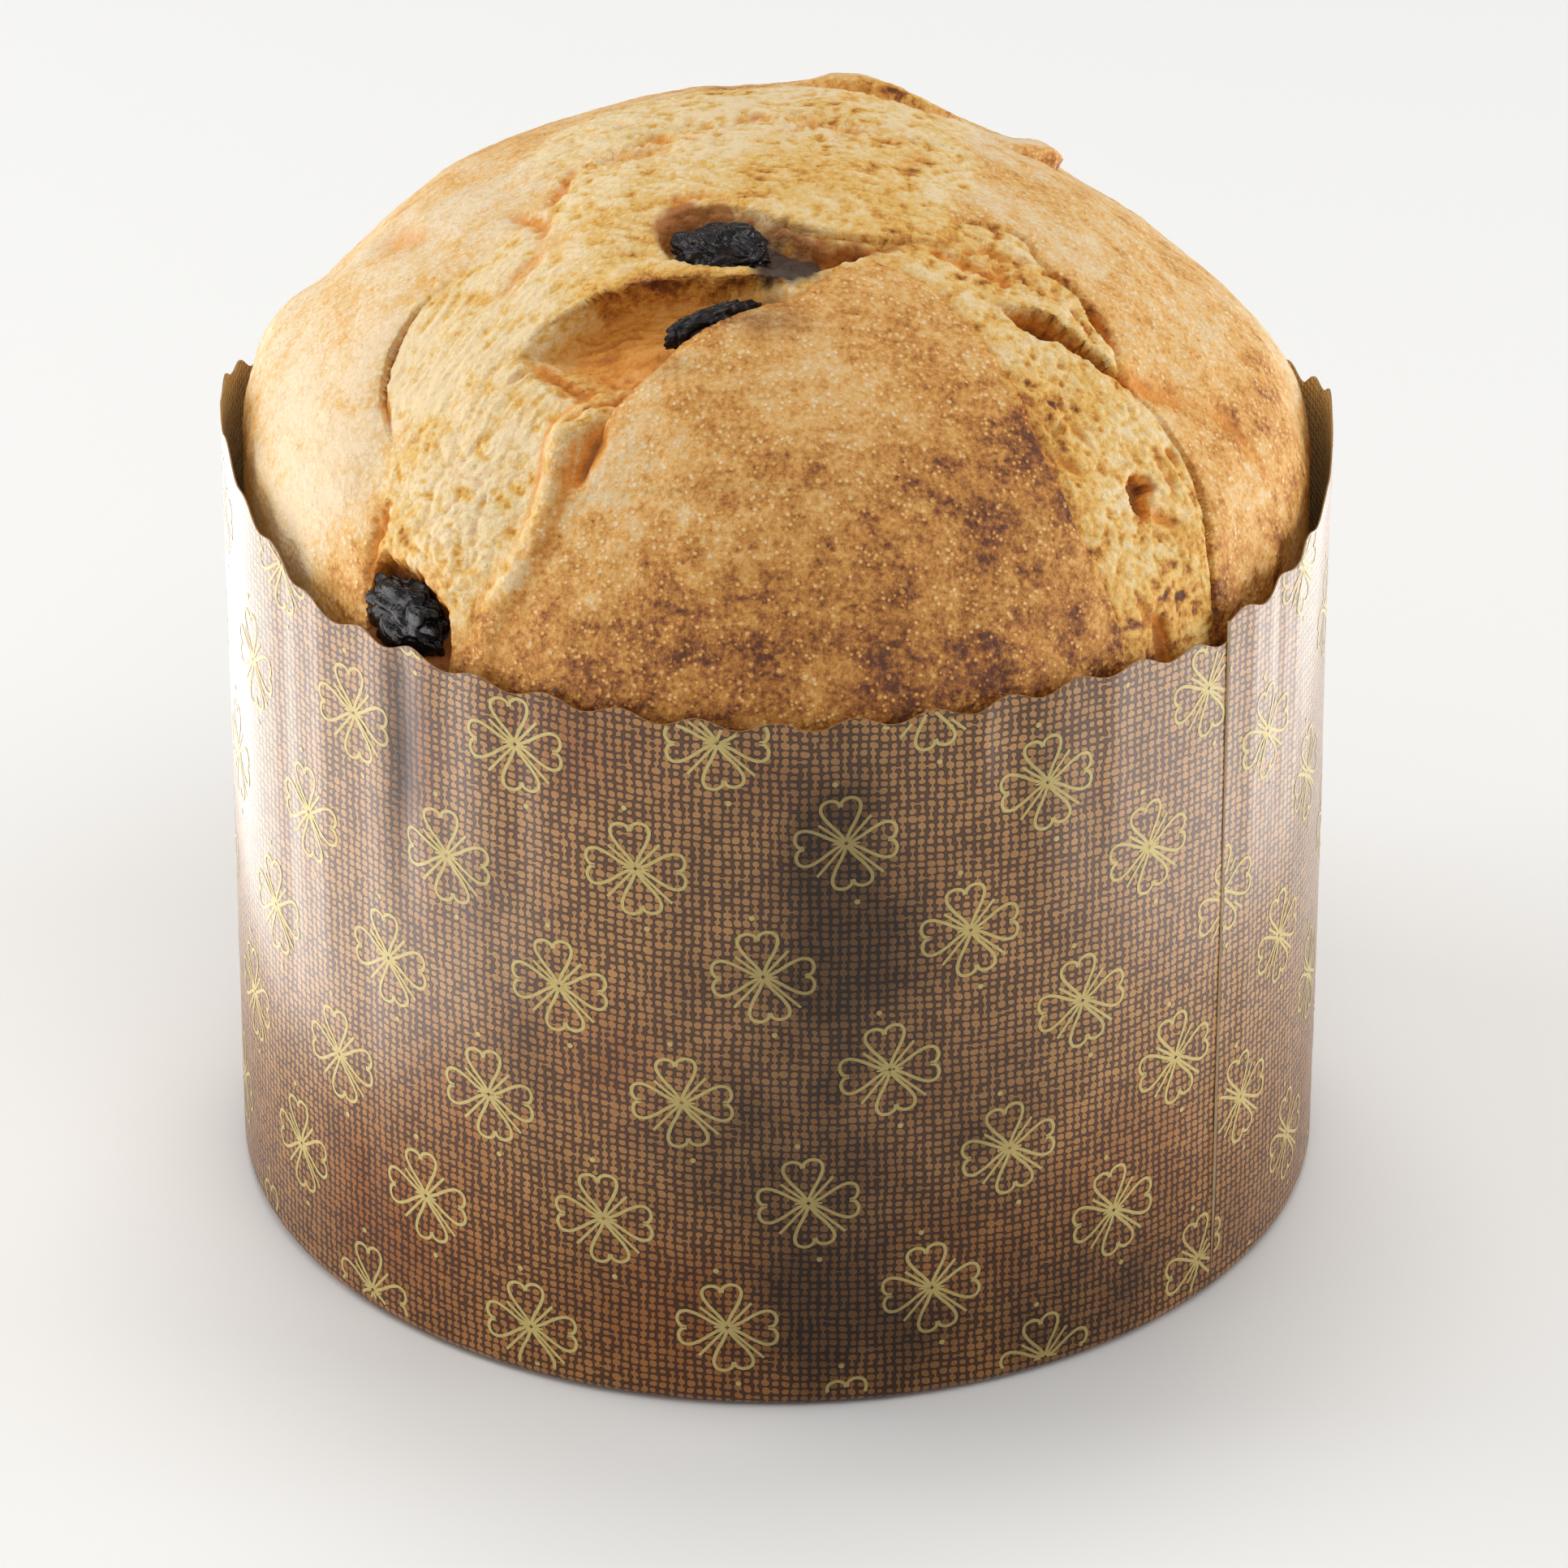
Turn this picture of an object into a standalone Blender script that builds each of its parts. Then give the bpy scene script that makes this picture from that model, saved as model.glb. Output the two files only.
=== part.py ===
"""A panettone in its paper case, in metres, +Z up, standing on Z = 0 with the case's centre at X = Y = 0.

The front of the loaf faces -Y. The case is a straight round wall with a scalloped rim and one glued
overlap. The loaf fills it, crowns over it as a dome, and is torn open on top: a front lobe stands
over an eye-shaped hollow, and smooth crust borders the torn crumb at the left and the right.
"""

import bmesh
import bpy
import numpy as np

MM = 0.001                 # the sizes below are in millimetres, and meshes are made in metres
GAP = 0.3                  # clearance between pieces that touch

# Paper case
CASE_RADIUS = 67.0
PAPER = 0.5                # thickness of the paper
FOOT_ROUND = 1.6           # radius where the wall turns into the base
RIM_LEVEL = 93.4
SCALLOPS = 46
SCALLOP_DEPTH = 1.3        # from crest to trough
COLUMNS_PER_SCALLOP = 4
SEAM_AZIMUTH = 52.0        # degrees right of the front, where the outer sheet's edge shows
SEAM_STEP = 0.55           # how far the outer sheet stands out at its edge
SEAM_REACH = 30.0          # length of wall over which it comes back to the round
WALL_LEVELS = (62.0, 30.0)  # rows of the wall between the rim and the foot

# Slow rise and fall of the rim: azimuth from the front in degrees, + to the right, and height.
# The list starts just right of the seam and runs once round to just left of it.
RIM_PATH = (
    (52.0, 93.4), (60.0, 92.5), (78.0, 94.4), (86.0, 98.4), (92.0, 100.0), (98.0, 98.4),
    (105.0, 95.2), (114.0, 93.6), (180.0, 93.0), (246.0, 94.0), (254.0, 97.0), (262.0, 100.6),
    (270.0, 102.4), (280.0, 102.0), (289.0, 98.8), (297.0, 97.2), (305.0, 94.4), (312.0, 93.6),
    (325.0, 94.3), (360.0, 92.9), (396.0, 93.6), (412.0, 90.6),
)

# Loaf
DOME_RADIUS = 73.8
DOME_CENTRE = (-1.8, -0.3, 61.5)
SHOULDER = 4.3             # width of the rounded shoulder beside the case
SHOULDER_DROP = 8.0
SHOULDER_SHARE = 0.82      # share of the way from crown to wall where the shoulder starts
SIDE_GAP_FRONT = 0.35      # from the dough to the inside of the case, at the front
SIDE_GAP_FLANK = 2.0       # and at the left and right, where the loaf has drawn away
BASE_ROUND = 5.0
GRID = 54                  # cells along one side of the dome's net

# Raisins: centre, half sizes along, across and up, and the heading of the long axis in degrees
RAISINS = {
    "raisin_top": dict(
        centre=(-6.2, -22.0, 131.3), half=(5.8, 4.5, 3.5), heading=-14.0, wrinkle=0.55, seed=3),
    "raisin_fold": dict(
        centre=(-7.2, -32.6, 127.4), half=(7.0, 1.9, 2.4), heading=35.0, wrinkle=0.35, seed=5),
    "raisin_edge": dict(
        centre=(-43.0, -46.3, 96.0), half=(6.8, 2.7, 5.2), heading=-47.0, wrinkle=0.35, seed=8),
}

# Soft swellings of the dome: x, y, half widths along x and y, height
SWELLINGS = (
    (3.0, -45.0, 26.0, 17.0, 2.4),       # the front lobe's body
    (-51.0, -12.0, 13.0, 22.0, 1.2),     # the smooth lobe at the left
    (-34.0, -34.0, 9.0, 10.0, 0.9),      # stretched crumb above the raisin at the rim
    (44.0, -4.0, 18.0, 20.0, 0.7),       # the smooth crust at the right
    (57.0, -4.0, 7.0, 24.0, 1.3),        # the right flank, close to the case
    (60.0, 9.0, 6.0, 14.0, 1.2),
    (-60.0, 9.0, 6.0, 14.0, 1.4),        # the left flank
    (9.5, 27.0, 7.5, 10.0, 1.6),         # the flap behind the crown
    (-9.0, 28.0, 3.0, 6.0, 0.4),
    (31.0, 24.0, 2.5, 7.0, 0.6),
    (36.5, 22.0, 4.5, 9.0, -1.0),
    (8.5, -7.0, 6.0, 4.5, 0.7),
    (-38.0, 24.0, 6.0, 10.0, 0.7),
    (-53.0, 16.0, 4.5, 9.0, -1.2),
    (-18.0, -9.0, 16.0, 8.0, 0.8),
    (-22.0, -18.0, 9.0, 6.0, 0.9),
)

# Lips: the dough on the left hand of the path stands up over a crease on its right hand.
# Each point is x, y and the height of the lip there.
LIPS = {
    "front_lobe": dict(
        path=((41.0, -51.0, 0.0), (35.0, -46.7, 0.8), (30.0, -41.0, 0.9), (26.0, -34.0, 0.8),
              (19.0, -27.0, 0.7), (12.0, -23.6, 0.8), (7.5, -25.6, 1.0), (2.5, -30.6, 1.2),
              (-2.0, -32.4, 1.3), (-8.3, -35.6, 1.6), (-13.0, -38.9, 1.6), (-17.5, -41.2, 1.2),
              (-20.2, -44.0, 0.8), (-22.5, -47.5, 0.5), (-25.5, -51.0, 0.0)),
        round=2.4, reach=13.0, lean=1.6, crease=0.8, crease_width=2.5),
    "left_lobe": dict(
        path=((-43.5, -37.0, 0.0), (-44.8, -31.0, 0.9), (-45.8, -25.8, 1.7), (-45.0, -21.7, 2.1),
              (-42.0, -16.7, 1.9), (-36.7, -14.2, 1.0), (-31.0, -11.5, 0.5), (-27.0, -9.0, 0.0)),
        round=2.5, reach=14.0, lean=0.8, crease=1.3, crease_width=2.2),
    "right_crust": dict(
        path=((17.0, -13.0, 0.0), (24.0, -11.2, 0.8), (29.0, -10.8, 1.1), (31.0, -14.0, 1.1),
              (35.0, -17.0, 1.1), (38.5, -20.0, 1.2), (40.5, -25.0, 1.3), (46.0, -27.6, 1.3),
              (49.6, -31.0, 1.4), (50.6, -35.5, 1.4), (51.4, -39.5, 1.0), (52.0, -43.0, 0.0)),
        round=2.0, reach=9.0, lean=0.3, crease=0.9, crease_width=2.5),
    "eyelid": dict(
        path=((-31.0, -31.5, 0.0), (-26.5, -28.8, 0.2), (-21.4, -26.6, 0.4), (-17.6, -26.2, 0.5),
              (-10.4, -26.4, 0.5), (-5.0, -26.8, 0.5), (-1.6, -26.9, 0.4), (0.8, -27.6, 0.0)),
        round=1.6, reach=5.0, lean=1.2, crease=0.6, crease_width=1.5),
    "left_ridge": dict(
        path=((-35.0, -54.4, 0.0), (-30.2, -52.8, 1.3), (-27.4, -50.0, 1.8), (-26.0, -46.8, 1.9),
              (-25.4, -44.2, 1.7), (-23.4, -41.6, 1.1), (-20.6, -40.2, 0.6), (-18.0, -39.6, 0.0)),
        round=2.2, reach=5.0, lean=0.5, crease=1.8, crease_width=3.0),
    "back_flap": dict(
        path=((2.0, 24.0, 0.0), (6.0, 22.4, 0.9), (12.0, 21.6, 1.3), (17.0, 21.2, 1.2),
              (21.0, 21.8, 0.7), (23.5, 23.5, 0.0)),
        round=1.8, reach=6.0, lean=0.8, crease=0.8, crease_width=2.0),
    "back_knob": dict(
        path=((27.0, 15.5, 0.0), (30.0, 16.5, 0.8), (33.0, 18.6, 1.4), (34.2, 21.8, 1.4),
              (33.6, 25.6, 0.8), (31.6, 28.8, 0.0)),
        round=1.8, reach=4.5, lean=0.6, crease=0.6, crease_width=2.0),
    "fissure": dict(
        path=((24.0, -25.0, 0.0), (28.0, -24.0, 0.9), (31.5, -22.8, 1.2), (35.5, -24.2, 1.2),
              (40.0, -25.4, 0.7), (42.5, -26.0, 0.0)),
        round=1.5, reach=5.0, lean=1.1, crease=0.0, crease_width=1.0),
    "brow": dict(
        path=((-13.5, -17.5, 0.0), (-10.0, -15.8, 1.3), (-4.0, -15.8, 1.5), (0.5, -18.2, 1.4),
              (5.5, -19.6, 1.3), (12.5, -19.0, 1.0), (19.0, -17.4, 0.9), (22.0, -18.0, 0.0)),
        round=2.4, reach=7.0, lean=0.6, crease=0.5, crease_width=2.0),
}

# Pits: a closed outline, the depth, and the width of the slope inside its edge
PITS = {
    "hollow": dict(
        outline=((-31.0, -31.8), (-27.0, -28.8), (-21.5, -26.6), (-12.0, -26.9), (-4.0, -28.2),
                 (-0.5, -29.8), (-4.5, -32.6), (-9.5, -35.6), (-14.0, -38.6), (-18.0, -40.2),
                 (-23.0, -38.6), (-27.5, -35.4)),
        depth=6.5, slope=5.0),
    "side_hollow": dict(
        outline=((-20.4, -42.2), (-22.8, -43.2), (-24.2, -46.0), (-24.6, -49.4), (-22.4, -50.4),
                 (-19.8, -47.6), (-18.6, -44.4)),
        depth=2.0, slope=2.6),
    "fissure": dict(
        outline=((26.5, -25.3), (31.0, -23.2), (35.5, -24.6), (40.3, -25.6), (38.8, -27.8),
                 (34.0, -27.9), (30.2, -28.7), (28.0, -27.0)),
        depth=5.0, slope=2.6),
    "raisin_bed": dict(
        outline=((-14.5, -18.5), (-10.5, -16.0), (-4.0, -16.2), (0.8, -18.6), (6.0, -20.0),
                 (13.0, -19.6), (9.0, -23.6), (3.0, -26.8), (-2.5, -25.4), (-9.0, -24.4),
                 (-13.5, -22.6)),
        depth=2.6, slope=3.2),
    "top_tear": dict(
        outline=((-20.5, 1.0), (-17.0, 6.0), (-11.5, 5.0), (-11.0, 0.5), (-14.0, -3.2), (-19.0, -3.4)),
        depth=1.2, slope=2.5),
    "crust_notch": dict(
        outline=((35.5, -17.5), (38.5, -18.6), (39.8, -21.5), (39.0, -23.2), (36.8, -21.0)),
        depth=1.6, slope=1.8),
    "large_pore": dict(
        outline=((40.0, -37.8), (41.6, -35.4), (44.2, -34.8), (43.2, -37.4), (43.4, -39.4), (40.6, -39.6)),
        depth=1.8, slope=1.4),
    "pale_pit": dict(
        outline=((30.8, -36.6), (33.2, -35.6), (33.4, -37.6), (31.6, -39.2)),
        depth=1.0, slope=1.2),
}

# Creases: a furrow along a path, x, y and depth at each point, and its half width
CREASES = (
    dict(path=((40.5, -25.4, 0.9), (44.0, -24.2, 0.8), (48.0, -21.6, 0.5), (52.0, -19.0, 0.0)), width=1.5),
    dict(path=((-32.0, -5.4, 0.0), (-30.0, -9.0, 1.0), (-28.0, -11.5, 1.3), (-27.2, -13.5, 0.9),
               (-28.5, -17.0, 0.0)),
         width=1.6),
    dict(path=((-23.5, 2.0, 0.0), (-24.6, -2.0, 1.0), (-25.8, -6.8, 1.2), (-27.0, -9.0, 0.0)), width=1.4),
    dict(path=((-34.0, -22.5, 0.0), (-31.0, -20.6, 0.6), (-27.0, -17.2, 0.5),
               (-20.0, -17.5, 0.0)), width=1.3),
    dict(path=((-41.0, -44.0, 0.0), (-38.5, -47.0, 0.9), (-35.5, -49.0, 0.8),
               (-33.0, -49.6, 0.0)), width=1.4),
    dict(path=((-47.0, 8.0, 0.0), (-45.5, 3.0, 0.6), (-43.0, -2.0, 0.5), (-40.0, -6.0, 0.0)), width=2.4),
)


def smooth_step(low, high, value):
    """0 below low, 1 above high, and a smooth rise between them."""
    share = np.clip((value - low) / (high - low), 0.0, 1.0)
    return share * share * (3.0 - 2.0 * share)


def spline(points, closed=False, steps=4):
    """A smooth curve through the points, with every column of theirs interpolated."""
    knots = np.array(points, float)
    if closed:
        knots = np.vstack([knots[-1:], knots, knots[:2]])
    else:
        knots = np.vstack([2 * knots[0] - knots[1], knots, 2 * knots[-1] - knots[-2]])
    share = np.linspace(0.0, 1.0, steps, endpoint=False)[:, None]
    runs = []
    for a, b, c, d in zip(knots[:-3], knots[1:-2], knots[2:-1], knots[3:]):
        runs.append(0.5 * (2 * b + (c - a) * share + (2 * a - 5 * b + 4 * c - d) * share ** 2
                           + (3 * b - a - 3 * c + d) * share ** 3))
    if not closed:
        runs.append(knots[-2:-1])
    return np.vstack(runs)


def near_path(x, y, path, closed=False):
    """For each point: distance to the path, + on its left hand, the path's third column there,
    and the direction away from the path."""
    ends = np.vstack([path, path[:1]]) if closed else path
    best = np.full(x.shape, np.inf)
    side = np.ones(x.shape)
    value = np.zeros(x.shape)
    away_x = np.zeros(x.shape)
    away_y = np.zeros(x.shape)
    for a, b in zip(ends[:-1], ends[1:]):
        run = b[:2] - a[:2]
        share = np.clip(((x - a[0]) * run[0] + (y - a[1]) * run[1]) / (run @ run), 0.0, 1.0)
        off_x = x - (a[0] + share * run[0])
        off_y = y - (a[1] + share * run[1])
        distance = np.hypot(off_x, off_y)
        nearer = distance < best
        best = np.where(nearer, distance, best)
        side = np.where(nearer, np.where(run[0] * off_y - run[1] * off_x >= 0, 1.0, -1.0), side)
        if path.shape[1] > 2:
            value = np.where(nearer, a[2] + share * (b[2] - a[2]), value)
        away_x = np.where(nearer, off_x, away_x)
        away_y = np.where(nearer, off_y, away_y)
    length = np.maximum(best, 1e-6)
    return best * side, value, away_x / length, away_y / length


def inside_depth(x, y, outline):
    """Distance inside a closed outline, 0 outside it."""
    path = spline(outline, closed=True)
    distance = np.abs(near_path(x, y, path, closed=True)[0])
    crossings = np.zeros(x.shape, int)
    for a, b in zip(path, np.roll(path, -1, axis=0)):
        if a[1] == b[1]:
            continue
        spans = (a[1] > y) != (b[1] > y)
        crossings += spans & (x < a[0] + (y - a[1]) * (b[0] - a[0]) / (b[1] - a[1]))
    return np.where(crossings % 2 == 1, distance, 0.0)


def relief(x, y):
    """Rise of the dough over the plain dome, and its sideways lean, at plan points in millimetres."""
    rise = np.zeros(x.shape)
    lean_x = np.zeros(x.shape)
    lean_y = np.zeros(x.shape)
    for cx, cy, wide, deep, height in SWELLINGS:
        rise += height * np.exp(-((x - cx) / wide) ** 2 - ((y - cy) / deep) ** 2)
    for pit in PITS.values():
        rise -= pit["depth"] * smooth_step(0.0, pit["slope"], inside_depth(x, y, pit["outline"]))
    for lip in LIPS.values():
        distance, height, away_x, away_y = near_path(x, y, spline(lip["path"]))
        up = np.clip(distance / lip["round"], 0.0, 1.0)
        crown = np.where(distance > 0, np.sqrt(1.0 - (1.0 - up) ** 2), 0.0)
        fade = np.exp(-(np.maximum(distance, 0.0) / lip["reach"]) ** 2)
        rise += height * crown * fade
        below = np.where(distance < 0, np.exp(-(distance / lip["crease_width"]) ** 2), 0.0)
        rise -= height * lip["crease"] * below
        lean = lip["lean"] * height / 3.0 * crown ** 2 * np.exp(-np.maximum(distance, 0.0) / lip["round"])
        lean_x -= away_x * lean
        lean_y -= away_y * lean
    for crease in CREASES:
        distance, depth, _, _ = near_path(x, y, spline(crease["path"]))
        rise -= depth * np.exp(-(distance / crease["width"]) ** 2)
    return rise, lean_x, lean_y


def side_radius(azimuth):
    """Radius of the dough beside the case. It has drawn away from the paper at the left and right."""
    flank = smooth_step(0.35, 0.95, np.abs(np.sin(azimuth)))
    gap = SIDE_GAP_FRONT + (SIDE_GAP_FLANK - SIDE_GAP_FRONT) * flank
    return CASE_RADIUS - PAPER - gap


def dome(share, azimuth):
    """Points of the torn dome: share runs 0 at the crown to 1 at the wall, azimuth from the front."""
    radius_wall = side_radius(azimuth)
    radius_shoulder = radius_wall - SHOULDER
    on_crown = np.minimum(share / SHOULDER_SHARE, 1.0)
    turn = np.pi / 2 * np.clip((share - SHOULDER_SHARE) / (1.0 - SHOULDER_SHARE), 0.0, 1.0)
    radius = DOME_RADIUS * np.sin(on_crown * np.arcsin(radius_shoulder / DOME_RADIUS))
    radius = radius + SHOULDER * np.sin(turn)
    x = radius * np.sin(azimuth)
    y = -radius * np.cos(azimuth)
    out_x = x - DOME_CENTRE[0]
    out_y = y - DOME_CENTRE[1]
    rise_ball = np.sqrt(DOME_RADIUS ** 2 - out_x ** 2 - out_y ** 2)
    z = DOME_CENTRE[2] + rise_ball - SHOULDER_DROP * (1.0 - np.cos(turn))
    rise, lean_x, lean_y = relief(x, y)
    hold = 1.0 - smooth_step(0.90, 0.99, share)
    rise = rise * hold / DOME_RADIUS
    moved_x = x + out_x * rise + lean_x * hold
    moved_y = y + out_y * rise + lean_y * hold
    keep = np.minimum(radius_wall / np.maximum(np.hypot(moved_x, moved_y), 1e-6), 1.0)
    return np.stack([moved_x * keep, moved_y * keep, z + rise_ball * rise], axis=-1)


def coordinates(mesh):
    """The mesh's vertices as rows of an array, in millimetres."""
    flat = np.zeros(len(mesh.vertices) * 3)
    mesh.vertices.foreach_get("co", flat)
    return flat.reshape(-1, 3) / MM


def set_coordinates(mesh, points):
    mesh.vertices.foreach_set("co", (points * MM).ravel())
    mesh.update()


def new_object(name, mesh, collection):
    piece = bpy.data.objects.new(name, mesh)
    collection.objects.link(piece)
    return piece


def material(name, colour, roughness):
    """A plain Principled material."""
    made = bpy.data.materials.new(name)
    made.use_nodes = True
    shader = made.node_tree.nodes["Principled BSDF"]
    shader.inputs["Base Color"].default_value = (*colour, 1.0)
    shader.inputs["Roughness"].default_value = roughness
    shader.inputs["Metallic"].default_value = 0.0
    made.diffuse_color = (*colour, 1.0)
    return made


def build_loaf(collection):
    """The dough: a square net drawn onto the dome, then carried down inside the case and closed below."""
    mesh = bpy.data.meshes.new("loaf")
    net = bmesh.new()
    bmesh.ops.create_grid(net, x_segments=GRID, y_segments=GRID, size=1.0)
    net.verts.ensure_lookup_table()
    flat = np.array([vertex.co[:2] for vertex in net.verts])
    disc_x = flat[:, 0] * np.sqrt(1.0 - flat[:, 1] ** 2 / 2.0)
    disc_y = flat[:, 1] * np.sqrt(1.0 - flat[:, 0] ** 2 / 2.0)
    points = dome(np.minimum(np.hypot(disc_x, disc_y), 1.0), np.arctan2(disc_x, -disc_y)) * MM
    for vertex, point in zip(net.verts, points):
        vertex.co = point
    floor = PAPER + GAP
    for level, inset in ((BASE_ROUND + floor, 0.0), (floor, BASE_ROUND)):
        border = [edge for edge in net.edges if edge.is_boundary]
        grown = bmesh.ops.extrude_edge_only(net, edges=border)["geom"]
        for vertex in (item for item in grown if isinstance(item, bmesh.types.BMVert)):
            azimuth = np.arctan2(vertex.co.x, -vertex.co.y)
            radius = (side_radius(azimuth) - inset) * MM
            vertex.co = (radius * np.sin(azimuth), -radius * np.cos(azimuth), level * MM)
    bmesh.ops.holes_fill(net, edges=[edge for edge in net.edges if edge.is_boundary], sides=0)
    bmesh.ops.triangulate(net, faces=net.faces[:])
    bmesh.ops.recalc_face_normals(net, faces=net.faces[:])
    net.to_mesh(mesh)
    net.free()
    mesh.shade_smooth()
    loaf = new_object("loaf", mesh, collection)
    mesh.materials.append(material("baked crust", (0.62, 0.36, 0.13), 0.62))
    return loaf


def raisin_mesh(name, half, heading, centre, wrinkle, seed, grow=0.0):
    """A wrinkled dried grape: a ball squeezed to its half sizes, with furrows along it."""
    mesh = bpy.data.meshes.new(name)
    ball = bmesh.new()
    bmesh.ops.create_icosphere(ball, subdivisions=3, radius=1.0)
    ball.to_mesh(mesh)
    ball.free()
    unit = coordinates(mesh) * MM
    around = np.arctan2(unit[:, 2], unit[:, 1])
    furrow = np.sin(5 * around + seed + 1.6 * np.sin(2.4 * unit[:, 0] + seed))
    dimple = np.sin(4.1 * unit[:, 0] + seed) * np.sin(3.3 * unit[:, 1] - seed)
    dimple = dimple * np.sin(3.7 * unit[:, 2] + 2 * seed)
    size = 1.0 - wrinkle * (0.16 - 0.12 * furrow * (1.0 - unit[:, 0] ** 2) - 0.22 * dimple)
    shaped = unit * size[:, None] * np.array(half) + unit * grow
    angle = np.radians(heading)
    turned = np.stack([shaped[:, 0] * np.cos(angle) - shaped[:, 1] * np.sin(angle),
                       shaped[:, 0] * np.sin(angle) + shaped[:, 1] * np.cos(angle), shaped[:, 2]], axis=-1)
    set_coordinates(mesh, turned + np.array(centre))
    mesh.shade_smooth()
    return mesh


def build_raisins(loaf, parts, cutters):
    """Each raisin sits in its own pocket, cut a gap wider than the raisin."""
    skin = material("raisin skin", (0.018, 0.012, 0.012), 0.4)
    for name, raisin in RAISINS.items():
        mesh = raisin_mesh(name, **raisin)
        mesh.materials.append(skin)
        new_object(name, mesh, parts)
        cutter = new_object("pocket_" + name, raisin_mesh("pocket_" + name, grow=GAP, **raisin), cutters)
        cutter.hide_render = True
        cutter.display_type = "WIRE"
        pocket = loaf.modifiers.new("pocket " + name, "BOOLEAN")
        pocket.operation = "DIFFERENCE"
        pocket.solver = "EXACT"
        pocket.object = cutter


def rim_height(azimuth):
    """Height of the case's edge, azimuth in degrees from the seam's 52 up to 412."""
    slow = np.interp(azimuth, [point[0] for point in RIM_PATH], [point[1] for point in RIM_PATH])
    return slow + SCALLOP_DEPTH / 2 * np.cos(np.radians(azimuth) * SCALLOPS)


def build_case(collection):
    """The paper case: a turned profile with the rim cut in scallops and the overlap stepped out."""
    profile = [(CASE_RADIUS, RIM_LEVEL)]
    profile += [(CASE_RADIUS, level) for level in WALL_LEVELS]
    profile += [(CASE_RADIUS, FOOT_ROUND), (CASE_RADIUS - FOOT_ROUND, 0.0), (0.0, 0.0)]
    line = bpy.data.meshes.new("case_profile")
    line.from_pydata([(radius * MM, 0.0, z * MM) for radius, z in profile],
                     [(i, i + 1) for i in range(len(profile) - 1)], [])
    turned = new_object("case_profile", line, collection)
    screw = turned.modifiers.new("turn", "SCREW")
    screw.steps = SCALLOPS * COLUMNS_PER_SCALLOP
    screw.render_steps = screw.steps
    screw.use_merge_vertices = True
    screw.merge_threshold = 0.00001
    mesh = bpy.data.meshes.new_from_object(turned.evaluated_get(bpy.context.evaluated_depsgraph_get()))
    mesh.name = "paper_case"
    bpy.data.objects.remove(turned)

    points = coordinates(mesh)
    step = 360.0 / (SCALLOPS * COLUMNS_PER_SCALLOP)
    column = np.round(np.degrees(np.arctan2(points[:, 1], points[:, 0])) / step) % (360.0 / step)
    azimuth = SEAM_AZIMUTH + column * step
    before_seam = azimuth > SEAM_AZIMUTH + 360.0 - 1.5 * step
    azimuth = np.where(before_seam, SEAM_AZIMUTH + 360.0 - 0.12 * step, azimuth)
    from_seam = np.radians(azimuth - SEAM_AZIMUTH) * CASE_RADIUS
    bulge = SEAM_STEP * (1.0 - smooth_step(0.0, SEAM_REACH, from_seam))
    radius = np.hypot(points[:, 0], points[:, 1])
    wall = smooth_step(0.0, 12.0, points[:, 2]) * (radius > CASE_RADIUS - 1.0)
    radius = radius + bulge * wall
    at_rim = points[:, 2] > RIM_LEVEL - 1.0
    height = np.where(at_rim, rim_height(azimuth), points[:, 2])
    angle = np.radians(azimuth)
    set_coordinates(mesh, np.stack([radius * np.sin(angle), -radius * np.cos(angle), height], axis=-1))

    case = new_object("paper_case", mesh, collection)
    mesh.materials.append(material("printed paper", (0.22, 0.14, 0.08), 0.55))
    thick = case.modifiers.new("paper thickness", "SOLIDIFY")
    thick.thickness = PAPER * MM
    thick.offset = -1.0
    thick.use_even_offset = True
    mesh.shade_smooth()
    return case


def main():
    for old in list(bpy.data.objects):
        bpy.data.objects.remove(old)
    parts = bpy.data.collections.new("panettone")
    cutters = bpy.data.collections.new("cutters")
    bpy.context.scene.collection.children.link(parts)
    bpy.context.scene.collection.children.link(cutters)
    loaf = build_loaf(parts)
    build_raisins(loaf, parts, cutters)
    build_case(parts)


main()
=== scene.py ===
"""Looks of the panettone: baked crust and torn crumb, raisins, and the printed paper case.

Sizes are in millimetres and degrees, and meshes are made in metres in the frame's own axes.
"""

import bmesh
import bpy
import numpy as np
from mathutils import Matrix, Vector

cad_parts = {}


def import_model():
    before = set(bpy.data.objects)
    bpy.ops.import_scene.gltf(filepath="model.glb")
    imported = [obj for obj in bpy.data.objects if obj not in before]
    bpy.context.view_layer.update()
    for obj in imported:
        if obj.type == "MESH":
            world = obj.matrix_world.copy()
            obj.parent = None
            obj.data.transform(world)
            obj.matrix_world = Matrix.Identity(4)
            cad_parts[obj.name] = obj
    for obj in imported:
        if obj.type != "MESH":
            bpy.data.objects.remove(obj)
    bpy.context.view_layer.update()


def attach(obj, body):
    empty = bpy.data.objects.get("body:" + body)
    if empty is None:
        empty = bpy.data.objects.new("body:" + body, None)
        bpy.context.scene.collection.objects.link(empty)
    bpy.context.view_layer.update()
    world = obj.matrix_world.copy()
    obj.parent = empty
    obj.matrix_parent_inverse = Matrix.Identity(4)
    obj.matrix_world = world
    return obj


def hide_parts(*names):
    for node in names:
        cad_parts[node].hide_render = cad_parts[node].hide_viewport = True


MM = 0.001

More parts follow.
